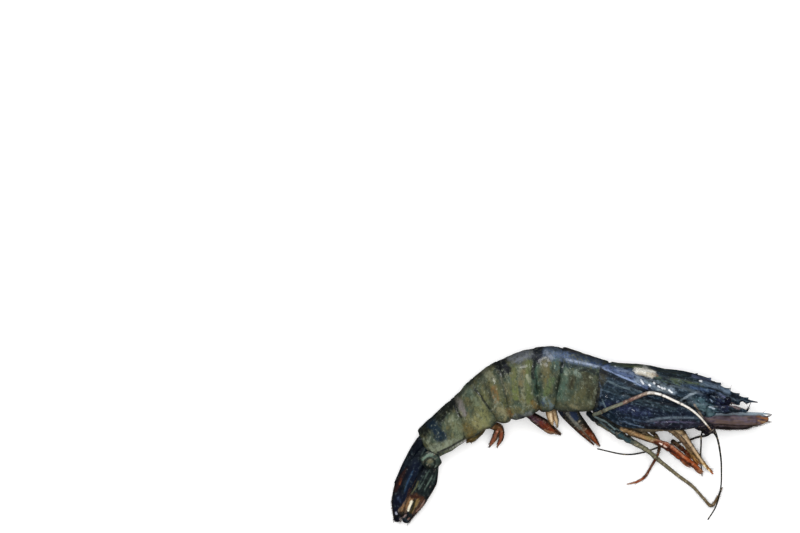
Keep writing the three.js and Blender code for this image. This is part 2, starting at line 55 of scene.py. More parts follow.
# %% [markdown]
# ## The curve of the body
#
# A prawn's body is bent, and its cross-section changes all the way along. A modeller would draw
# the back and the belly as two curves and loft between them. Here each cut across the body is one
# row: where it meets the back and the belly, half of its breadth, and the height of its middle
# above the table. Smooth curves run through the rows, and every shell is hung on them.

# %% Cuts from the eyes to the tail
CUTS = np.array([
    # back x, y, belly x, y, half breadth, middle height
    [73, 30.5, 69.5, 6, 8.5, 13.6],
    [60.5, 34.5, 59.5, 3.5, 11.8, 13.4],
    [46.5, 36.5, 41, 3.5, 13.4, 13.2],
    [30.5, 39.5, 22.5, 5, 13.6, 13.2],
    [15, 41.5, 6.5, 13, 12.9, 12.8],
    [-10.5, 49, -15.5, 13.5, 12.9, 12.6],
    [-26, 49, -23.5, 13, 12.6, 12.3],
    [-47.5, 41, -39, 8, 11.8, 11.5],
    [-60.5, 31.5, -47, 6.5, 10.6, 10.3],
    [-71, 21, -63.5, -2.5, 9, 8.7],
    [-90.5, 3, -79.5, -12, 6.6, 6.4],
])
LAST = len(CUTS) - 1
REAR_OF_CARAPACE = 4
BACK, BELLY = CUTS[:, [0, 1, 4]], CUTS[:, [2, 3, 5]]
MIDDLE = (CUTS[:, :2] + CUTS[:, 2:4]) / 2
CUT_AT = np.append(0, np.cumsum(np.hypot(*np.diff(MIDDLE, axis=0).T)))
print("length through the middle of the body, mm:", round(CUT_AT[-1]))


# %% A smooth curve through knots
def spline(knots, t):
    """Points at shares t of a curve that passes through every row of knots."""
    knots = np.asarray(knots, float)
    ends = 2 * knots[0] - knots[1], 2 * knots[-1] - knots[-2]
    rows = np.vstack([ends[0], knots, ends[1]])
    place = np.clip(t, 0, 1) * (len(knots) - 1)
    i = np.minimum(place.astype(int), len(knots) - 2)
    a, b, c, d = (rows[i + k] for k in range(4))

    def gap(p, q):
        return np.maximum(((q - p) ** 2).sum(-1) ** 0.25, 1e-4)[:, None]

    ab, bc, cd = gap(a, b), gap(b, c), gap(c, d)
    leave = ((b - a) / ab - (c - a) / (ab + bc) + (c - b) / bc) * bc
    arrive = ((c - b) / bc - (d - b) / (bc + cd) + (d - c) / cd) * bc
    w = (place - i)[:, None]
    bend = 3 * (c - b) - 2 * leave - arrive
    return b + leave * w + bend * w**2 + (2 * (b - c) + leave + arrive) * w**3


def bell(value, centre, width):
    """1 at the centre, fading smoothly to 0 over about two widths."""
    return np.exp(-(((value - centre) / width) ** 2))


def ramp(value, low, high):
    """0 below low, 1 above high, and a smooth rise between."""
    t = np.clip((value - low) / (high - low), 0, 1)
    return t * t * (3 - 2 * t)


# %% A point in the body
FULL_UP, FULL_ACROSS = 0.92, 0.86  # powers below 1 make the section fuller than an ellipse
BELLY_SPREAD = 0.1  # share by which the section is broader at the belly
HOLLOW = 0.6  # half breadth of the hollow between the legs, as a share


def body_point(along, angle, share, reach=1.14, dent=0.3):
    """Along the body in mm, at an angle from the back, and a share of the way to the skin.
    reach stretches the lower half, and dent is how deep the belly is pushed in between the legs."""
    i = np.clip(np.searchsorted(CUT_AT, along, side="right") - 1, 0, LAST - 1)
    t = (i + (along - CUT_AT[i]) / (CUT_AT[i + 1] - CUT_AT[i])) / LAST
    inside = np.clip(t, 0, 1)
    back, belly = spline(BACK, inside), spline(BELLY, inside)
    rise = (back[:, :2] - belly[:, :2]) / 2
    centre = (back[:, :2] + belly[:, :2]) / 2
    ahead = np.stack([rise[:, 1], -rise[:, 0]], 1) / np.hypot(*rise.T)[:, None]
    end_step = np.where(t > 1, CUT_AT[-1] - CUT_AT[-2], CUT_AT[1])
    centre = centre - ahead * ((t - inside) * LAST * end_step)[:, None]
    up = np.sign(np.cos(angle)) * np.abs(np.cos(angle)) ** FULL_UP * share
    up = np.where(up < 0, up * reach, up)
    across = np.sign(np.sin(angle)) * np.abs(np.sin(angle)) ** FULL_ACROSS
    across = across * share * (1 - BELLY_SPREAD * np.cos(angle))
    groove = np.maximum(0, 1 - (across / HOLLOW) ** 2)
    up = up + np.where(up < 0, dent * groove * -up, 0)
    flat = centre + rise * up[:, None]
    height = np.maximum(belly[:, 2] + across * back[:, 2], 0)
    return np.column_stack([flat, height])


print("skin above the first ring's middle, mm:",
      body_point(np.array([80.0]), np.array([1.57]), np.array([1.0])).round(1))

# %% [markdown]
# ## Rolling a skin
#
# A shell could be spun, lofted from rings or sculpted. A flat grid is the simplest start: its
# width becomes the way round the shell and its length the way along it, the rows are moved onto
# the body's curves, and the two long edges meet under the belly, where they are merged. Small
# marks such as "how close is the joint" are kept on the points, and the materials read them later.


# %% Work on one object at a time
def only(*pieces):
    """Selects these objects and nothing else; the first is the active one."""
    bpy.ops.object.select_all(action="DESELECT")
    for piece in pieces:
        piece.select_set(True)
    bpy.context.view_layer.objects.active = pieces[0] if pieces else None


def heal(piece, distance=0.003):
    """Merges points closer than this distance in mm, and turns the faces outwards."""
    only(piece)
    bpy.ops.object.mode_set(mode="EDIT")
    bpy.ops.mesh.select_all(action="SELECT")
    bpy.ops.mesh.remove_doubles(threshold=distance * MM)
    bpy.ops.mesh.normals_make_consistent(inside=False)
    bpy.ops.object.mode_set(mode="OBJECT")
    bpy.ops.object.shade_smooth()


# %% Roll a grid into a closed skin
def roll(name, rows, columns, place):
    """place(u, v) gives the points in mm and the marks; u runs along and v runs round."""
    only()
    bpy.ops.mesh.primitive_grid_add(x_subdivisions=rows, y_subdivisions=columns, size=1)
    piece = bpy.context.object
    piece.name = piece.data.name = name
    mesh = piece.data
    flat = np.empty(len(mesh.vertices) * 3)
    mesh.vertices.foreach_get("co", flat)
    u, v = flat.reshape(-1, 3)[:, 0] + 0.5, flat.reshape(-1, 3)[:, 1] + 0.5
    points, marks = place(u, v)
    points[:, 2] = np.maximum(points[:, 2], TABLE_GAP)
    mesh.vertices.foreach_set("co", (points * MM).ravel())
    for mark, values in marks.items():
        layer = mesh.attributes.new(mark, "FLOAT", "POINT")
        layer.data.foreach_set("value", np.broadcast_to(values, len(u)).astype(np.float32))
    heal(piece)
    return piece


def lumps(points, size, seed):
    """Smooth unevenness between -1 and 1, with bumps about this size in mm."""
    shift = Vector((seed * 7.3, seed * 3.1, seed * 5.7))
    return np.array([noise.noise(Vector(p) / size + shift) for p in points])


def line_distance(points, line):
    """How far points lie, seen from the side, from a line of corners."""
    best = np.full(len(points), 1e9)
    for a, b in zip(np.array(line[:-1], float), np.array(line[1:], float)):
        way = b - a
        t = np.clip(((points[:, :2] - a) @ way) / (way @ way), 0, 1)
        best = np.minimum(best, np.hypot(*(points[:, :2] - a - t[:, None] * way).T))
    return best


# The sparks and the cream-white highlight are painted light, and with the pale rim they lie on the near side
# only.
NEAR_ONLY = ("spark", "cream", "pale_rim")  # strokes that lie on the near side only
NEAR_FROM, NEAR_FULL = 12, 15  # heights in mm between which these strokes fade in
LEAST_COVER = 0.05  # a stroke that covers no point better than this isn't stored


def painted(points, strokes):
    """How well each brush stroke covers the points: 1 on its line, 0.5 at its half width, then 0."""
    cover = {}
    for name, (line, wide, *_) in strokes.items():
        share = np.clip(1 - line_distance(points, line) / (2 * wide), 0, 1)
        if name.startswith(NEAR_ONLY):
            share = share * ramp(points[:, 2], NEAR_FROM, NEAR_FULL)
        if share.max() > LEAST_COVER:
            cover[name] = share
    return cover


# %% [markdown]
# ## Turning numbers into wet shell
#
# Materials are networks of nodes. Wiring dozens of them by hand is slow to read, so one small
# class wraps a socket and lets Python's own operators add Math nodes: `1 - mask` makes a Subtract
# node. Another class is the workbench for one material, with one method that adds any node.


# %% Sockets that can be added and multiplied
class Wire:
    """A socket of one bench's node tree. Sums of wires and numbers become Math nodes."""

    def __init__(self, bench, socket):
        self.bench, self.socket = bench, socket

    def maths(self, operation, *values):
        return self.bench.node("ShaderNodeMath", {"operation": operation}, dict(enumerate(values)))

    def __add__(self, other):
        return self.maths("ADD", self, other)

    def __radd__(self, other):
        return self.maths("ADD", other, self)

    def __sub__(self, other):
        return self.maths("SUBTRACT", self, other)

    def __rsub__(self, other):
        return self.maths("SUBTRACT", other, self)

    def __mul__(self, other):
        return self.maths("MULTIPLY", self, other)

    def ramp(self, low, high):
        """0 at low, 1 at high, and smooth between; low may be the larger one."""
        ends = {"Value": self, "From Min": low, "From Max": high}
        return self.bench.node("ShaderNodeMapRange", {"interpolation_type": "SMOOTHSTEP"}, ends)


# %% A workbench for one material
def tone(code):
    """A colour written as on a paint card, such as 5d5f49, as Blender's linear numbers."""
    parts = [int(code[i:i + 2], 16) / 255 for i in (0, 2, 4)]
    return (*(p / 12.92 if p <= 0.04045 else ((p + 0.055) / 1.055) ** 2.4 for p in parts), 1)


DARK_BELOW, DEEPEN = 0.06, 0.45  # brightness under which a colour is deepened, and by what share


class Bench:
    """One material. Its strokes are frayed by rags and broken by breaks, and painted glints are speckled by
    a fine noise.
    """

    def __init__(self, name, stretch=(1.2, 1, 1), turn=0):
        self.material = bpy.data.materials.new(name)
        self.material.use_nodes = True
        self.tree = self.material.node_tree
        self.shader = self.tree.nodes["Principled BSDF"]
        self.place = self.node("ShaderNodeTexCoord", out="Object")
        coarse = self.noise(3.4, 6, 0.75, seed=11.0)
        fine = self.noise(1.1, 4, 0.7, stretch, 12.0, turn)
        self.rags = (coarse - 0.5) * 0.5 + (fine - 0.5) * 0.34
        # Fine specks that break up the painted glints.
        self.grain = self.noise(1.3, 3, 0.6, (1.5, 0.9, 1), 13.0, -20).ramp(0.78, 0.98)
        self.breaks = self.noise(1.7, 4, 0.7, stretch, 14.0, turn).ramp(0.1, 0.8)

    def node(self, kind, settings={}, values={}, out=0):
        """Adds a node of any kind, sets it up, feeds its inputs and gives one of its outputs."""
        node = self.tree.nodes.new(kind)
        for key, value in settings.items():
            setattr(node, key, value)
        for key, value in values.items():
            if isinstance(value, Wire):
                self.tree.links.new(value.socket, node.inputs[key])
            else:
                node.inputs[key].default_value = value
        return Wire(self, node.outputs[out])

    def noise(self, size, detail=3, rough=0.55, stretch=None, seed=0.0, turn=0):
        """Cloudy noise, mostly between 0 and 1, with clouds about this size in mm; stretch draws
        them out along each axis, after the axes are turned."""
        where = self.place
        if stretch:
            way = {"Vector": where, "Scale": stretch, "Rotation": (0, 0, math.radians(turn))}
            where = self.node("ShaderNodeMapping", {"vector_type": "TEXTURE"}, way)
        sizes = {"Vector": where, "W": seed, "Scale": 1000 / size, "Detail": detail, "Roughness": rough}
        return (self.node("ShaderNodeTexNoise", {"noise_dimensions": "4D"}, sizes) - 0.5) * 2.6 + 0.5

    def mark(self, name):
        """A mark that was stored on the points when the piece was rolled."""
        return self.node("ShaderNodeAttribute", {"attribute_name": name}, out="Fac")

    def mix(self, mask, first, second):
        """The first colour where the mask is 0, and the second where it is 1."""
        return self.node("ShaderNodeMix", {"data_type": "RGBA"}, {0: mask, 6: first, 7: second}, out=2)

    def coats(self, colour, *coats):
        """Lays coats over a colour, one on top of the other. Each is a mask and a colour code."""
        for mask, code in coats:
            colour = self.mix(mask, colour, tone(code))
        return colour

    def strokes(self, colour, table):
        """Lays a table of brush strokes over a colour, each with a ragged rim and a broken face."""
        for name, (_, _, code, strength, broken) in table.items():
            cover = (self.mark(name) + self.rags).ramp(0.2, 0.72)
            face = self.grain if broken == "grain" else 1 - (1 - self.breaks) * broken
            colour = self.mix(cover * face * strength, colour, tone(code))
        return colour

    def finish(self, colour, rough, bump=None, strength=0.3, depth=0.3, fixed={}):
        """Wires the shader up. depth is the bump's height in mm; fixed are plain numbers. Wet shell
        swallows light in its darkest parts, so dark colours are deepened towards black."""
        if isinstance(colour, Wire):
            grey = self.node("ShaderNodeRGBToBW", {}, {0: colour})
            colour = self.coats(colour, (grey.ramp(DARK_BELOW, 0) * DEEPEN, "000000"))
        links = {"Base Color": colour, "Roughness": rough}
        if bump is not None:
            height = {"Height": bump, "Strength": strength, "Distance": depth * MM}
            links["Normal"] = self.node("ShaderNodeBump", {}, height)
        for key, value in {**links, **fixed}.items():
            if isinstance(value, Wire):
                self.tree.links.new(value.socket, self.shader.inputs[key])
            else:
                self.shader.inputs[key].default_value = value
        return self.material


# %% [markdown]
# ## The skins
#
# Fresh prawn shell is thin, wet and faintly see-through, so its colour is never even: olive and
# grey-green clouds, ochre stains and pale rims on the lowest edges. Light and shade are painted
# into the colour as well: painted shade in bands where two rings overlap and in the grooves, a
# milky blue painted reflection along the shoulders, and painted highlights and glints. Each cloud
# is a noise of its own size. The patches, streaks and specks that make one prawn differ from the
# next are brush strokes, laid in the order of their table: a line seen from the side, half its
# width, a colour, how strong it is, and how broken, from 0 for an even stroke to 1 for a torn
# one, or a word in place of the number, which breaks painted glints into fine specks.

# %% Wet finish shared by every shell
WET = {"Coat Weight": 0.6, "Coat Roughness": 0.12, "Coat IOR": 1.38, "Specular IOR Level": 0.4}


def wet_bump(bench, coarse=3.2, fine=0.7):
    """Dents, fine pits and tiny wrinkles in one height."""
    dents = bench.noise(coarse, 3, 0.6, seed=4.0)
    pits = bench.noise(fine, 2, 0.6, seed=8.0)
    return dents * 0.7 + pits * 0.3


# %% Brush strokes on the head shell
HEAD_PAINT = {  # name: line, half width in mm, colour, strength, how broken it is
    "flank": ([(24, 13), (45, 13), (60, 13)], 5.5, "1a2234", 0.8, 0.5),
    "flank_green": ([(28, 20), (38, 18.5), (50, 15)], 2.0, "34454b", 0.8, 1),
    "rear_grey": ([(13, 33), (18, 30), (30, 24.6)], 2.4, "33434e", 0.85, 1),
    "rear_brown": ([(11.6, 35), (9.4, 29), (7, 24), (5.6, 17)], 2.4, "3d3a28", 0.95, 0.4),
    "shoulder": ([(15, 40.4), (24, 37.2), (33, 33)], 1.4, "33435f", 0.9, 0.7),
    "back_olive": ([(17, 40), (27, 39.6), (37, 38)], 1.7, "454f33", 0.9, 0.7),
    "upper_teal": ([(42, 34), (56, 31), (66, 27)], 4.6, "1f3238", 0.85, 0.6),
    "upper_olive": ([(49, 31.4), (58, 30), (67, 28)], 1.3, "4f5a3c", 0.8, 1),
    "upper_olive_2": ([(41, 32.6), (52, 28.6), (60, 26)], 1.0, "46543c", 0.85, 1),
    "upper_grey": ([(43, 37), (52, 35), (58, 33.4)], 0.9, "3d4b44", 0.8, 0.9),
    "upper_blue": ([(56, 27.6), (64, 27), (70, 25)], 1.4, "2a3b57", 0.85, 0.9),
    "top_sheen": ([(62, 33.4), (67, 32), (72, 31)], 0.8, "6f7aa0", 0.9, 0.6),
    # Painted reflection: a milky blue sheen along the shoulder, with a bright line in it, a paler band above
    # it and a dark streak of painted shade below it.
    "sheen_band": ([(9.6, 40.4), (13.6, 38.6), (21.4, 34.9), (29.8, 31), (35.4, 27.6)], 1.4, "54658c", 0.95, 0.7),
    "bloom_line": (
        [(11.6, 37.8), (18.6, 34.5), (24.2, 32.1), (29.8, 29.9), (33, 28.4)], 0.5, "8b9dc2", 0.95, 0.7),
    "bloom_shade": ([(9, 36.6), (18, 32.6), (27, 28.4), (37, 23)], 0.9, "0e1622", 0.9, 0.4),
    "bloom_upper": ([(20, 37.4), (28, 34.8), (34, 31.6)], 0.9, "6b7a93", 0.9, 0.8),
    # Painted highlight: a grey-silver patch of glints on the side of the shell.
    "glint_patch": ([(31, 31.4), (38, 29.6), (44, 27.4), (50.4, 24.2)], 1.9, "7f8e9d", 0.95, 0.7),
    # Painted shadow of the folded leg on the head shell.
    "dark_under_leg": ([(37, 23.6), (46, 22.4), (56, 19.6)], 1.1, "0b111b", 0.9, 0.3),
    "cheek": ([(56.5, 18.8), (61, 18.6), (66, 17)], 3.0, "3e4f55", 0.9, 0.9),
    "cheek_line": ([(55, 19.9), (60, 23), (65, 24.8)], 0.6, "8b98a2", 0.9, 0.5),
    "cheek_front": ([(66, 19), (70, 15.5), (73, 13)], 2.6, "446068", 0.85, 0.9),
    "front_navy": ([(66, 24.8), (74, 20.9), (79, 19.6)], 2.2, "101c33", 0.9, 0.4),
    # Painted glints: fine pale blue specks on the dark front.
    "front_specks": ([(66, 20), (71, 18.4), (76, 21)], 3, "aebfd2", 0.95, "grain"),
    "brown_rim": ([(62.4, 17.4), (65, 13.6), (68.2, 8.4)], 0.55, "8a7a68", 0.9, 0.3),
    "low_purple": ([(34, 6.6), (50, 6.2), (66, 6.2)], 2.2, "312a3a", 0.85, 0.8),
    "low_ridge": ([(38, 9.4), (46, 10.2), (54, 10.4), (62, 10)], 0.45, "56646e", 0.85, 1),
    "low_dark": ([(30, 5.6), (46, 3.4), (62, 3.4)], 0.9, "0e0e16", 0.9, 0.2),
    # Painted highlight: a cream-white patch of reflected light, with a beige lobe, a duller patch and a
    # brown tip.
    "cream": ([(31.4, 36.6), (35, 35.9), (38.6, 34.8)], 2.15, "faf6ea", 1, 0.3),
    "cream_lobe": ([(36.4, 34.7), (39.4, 33.6)], 1.0, "bdb196", 0.9, 0.9),
    "cream_stain": ([(31.6, 35), (35.6, 33.8)], 0.9, "9b9079", 0.9, 0.9),
    "cream_tip": ([(39.6, 34.6), (41.6, 33.8)], 0.8, "6f5335", 0.85, 0.8),
    "front_sheen": ([(67, 29.4), (74.6, 27.6), (82, 24.2)], 1.3, "5f7084", 0.9, 0.7),
    "front_streak": ([(60.6, 27), (72.9, 24.8), (80.2, 21.4)], 0.8, "3e5270", 0.9, 0.7),
    "front_teal": ([(65.6, 16.6), (69.6, 13.8), (71.6, 10.6)], 1.8, "51696e", 0.9, 0.8),
    "front_violet": ([(77, 18.4), (80, 15.6)], 2.0, "26294a", 0.85, 0.7),
    "front_pink": ([(81, 18.8), (84, 17.2), (87.4, 15.4)], 1.0, "816d6a", 0.95, 0.5),
    "front_pit": ([(82.6, 14.8), (87, 13.6)], 0.9, "141c22", 0.95, 0.2),
    # Painted glints on the front of the head.
    "front_glint": ([(71, 16.2), (73.6, 15.2)], 0.5, "cddbe8", 0.9, 0.8),
    "front_glint_2": ([(77.2, 22.8), (79.6, 21.4)], 0.4, "7d7ba0", 0.9, 0.7),
    "front_glint_3": ([(71.4, 20.4), (72.6, 19)], 0.35, "8ea3ba", 0.9, 0.8),
    "flank_line": (
        [(12.6, 29.6), (14.2, 30.8), (18.6, 28.4), (25, 26.2), (33, 24.6)], 0.45, "58686f", 0.8, 1),
    "flank_haze": ([(12, 27), (20, 24), (30, 21)], 1.8, "2b3a42", 0.8, 0.9),
    "flank_blue": ([(14, 17.4), (24, 15.4), (36, 12.4)], 2.4, "262e52", 0.75, 0.8),
    "rear_top": ([(8.4, 43), (14, 42)], 1.0, "26302a", 0.9, 0.4),
    "low_streak": ([(40, 7.6), (52, 7.8), (62, 7.4)], 0.4, "55506a", 0.8, 0.9),
    "flank_hair": ([(10.9, 20.4), (12, 17.8), (13.4, 15)], 0.35, "5a6a6e", 0.9, 0.3),
    "flank_hair_2": ([(9.4, 30), (10.4, 26), (10, 22)], 0.4, "3f4f62", 0.85, 0.7),
    "low_line": ([(21, 8.4), (27, 6.6), (34, 4.8)], 0.45, "5d6f88", 0.9, 0.7),
    "low_line_2": ([(17, 8.6), (22, 5), (27, 3.4)], 0.45, "48586a", 0.9, 0.7),
    "low_line_3": ([(24, 10.4), (32, 8.4), (40, 7)], 0.4, "3c4c62", 0.9, 0.8),
    "back_green": ([(21, 40.6), (28, 39), (33, 38.6)], 0.8, "56602f", 0.85, 0.8),
    # Darker streaks and a brighter glint within the painted glint patch.
    "glint_patch_dark": ([(36, 30.8), (41, 30), (47, 27.4)], 0.6, "4c5a5c", 0.85, 1),
    "glint_patch_2": ([(42, 25.8), (46.6, 25.2), (49, 25.6)], 0.6, "9aa7ae", 0.9, 0.6),
    "upper_dark": ([(46, 34.6), (54, 32.6), (62, 30.4)], 0.7, "0c171c", 0.9, 0.5),
    "upper_dark_2": ([(48, 29), (56, 26.6), (62, 24.4)], 0.6, "0d161d", 0.9, 0.6),
}


# %% Sparks of light on the head shell, laid last
SPARKS = [
    [(32.6, 31.3), (34, 29)], [(37.2, 28.5), (37.6, 28)], [(42.2, 27.8), (43, 27.2)],
    [(44.2, 26.9), (44.7, 26.4)], [(45.6, 26.5), (46, 26.2)], [(48.2, 25.5), (49.9, 24.2)],
    [(39.8, 29.6), (40.2, 29.2)], [(65.7, 30.6), (66.6, 30.5)], [(9.3, 40.9), (10.2, 40.2)],
]
SPARK_PAINT = {f"spark_{i}": (line, 0.45, "f2f5f9", 0.95, 0.5) for i, line in enumerate(SPARKS)}
print("brush strokes on the head shell:", len(HEAD_PAINT), "and sparks:", len(SPARK_PAINT))


# %% Skin of the head shell
def head_skin():
    b = Bench("wet_blue_black_shell", (3, 0.8, 1), -18)
    cloud, small = b.noise(6, 4, seed=1.0), b.noise(1.5, 4, 0.7, seed=2.0)
    streak = b.noise(1.8, 4, 0.65, (4, 0.8, 1), 3.0, -16)
    wrinkle = b.noise(1.2, 3, 0.6, (3.2, 0.8, 1), 17.0, -22)
    colour = b.mix(cloud.ramp(0.2, 0.8), tone("0a1628"), tone("182b3b"))
    colour = b.coats(colour, (streak.ramp(0.55, 0.95) * 0.6, "2f4250"))
    colour = b.strokes(colour, HEAD_PAINT)
    colour = b.coats(
        colour,
        (wrinkle.ramp(0.42, 0.1) * 0.6, "090f17"),
        (wrinkle.ramp(0.62, 0.95) * 0.35, "5d6f7d"),
        (small.ramp(0.5, 0.05) * 0.7, "060a11"),
        (small.ramp(0.65, 1) * 0.45, "7f8e9a"),
        # Ridges get a painted highlight and grooves painted shade; the keel mark darkens the back and the
        # beak's edges, partly their own darker colour and partly painted shade along the outline.
        (b.mark("ridge") * 0.22, "7b8894"),
        (b.mark("groove") * 0.7, "090d14"),
        (b.mark("keel") * 0.75, "121a20"),
        (b.mark("rim") * 0.4, "141a22"),
    )
    colour = b.strokes(colour, SPARK_PAINT)
    return b.finish(colour, 0.34 + small * 0.3, wet_bump(b), 0.5, 0.22, WET)


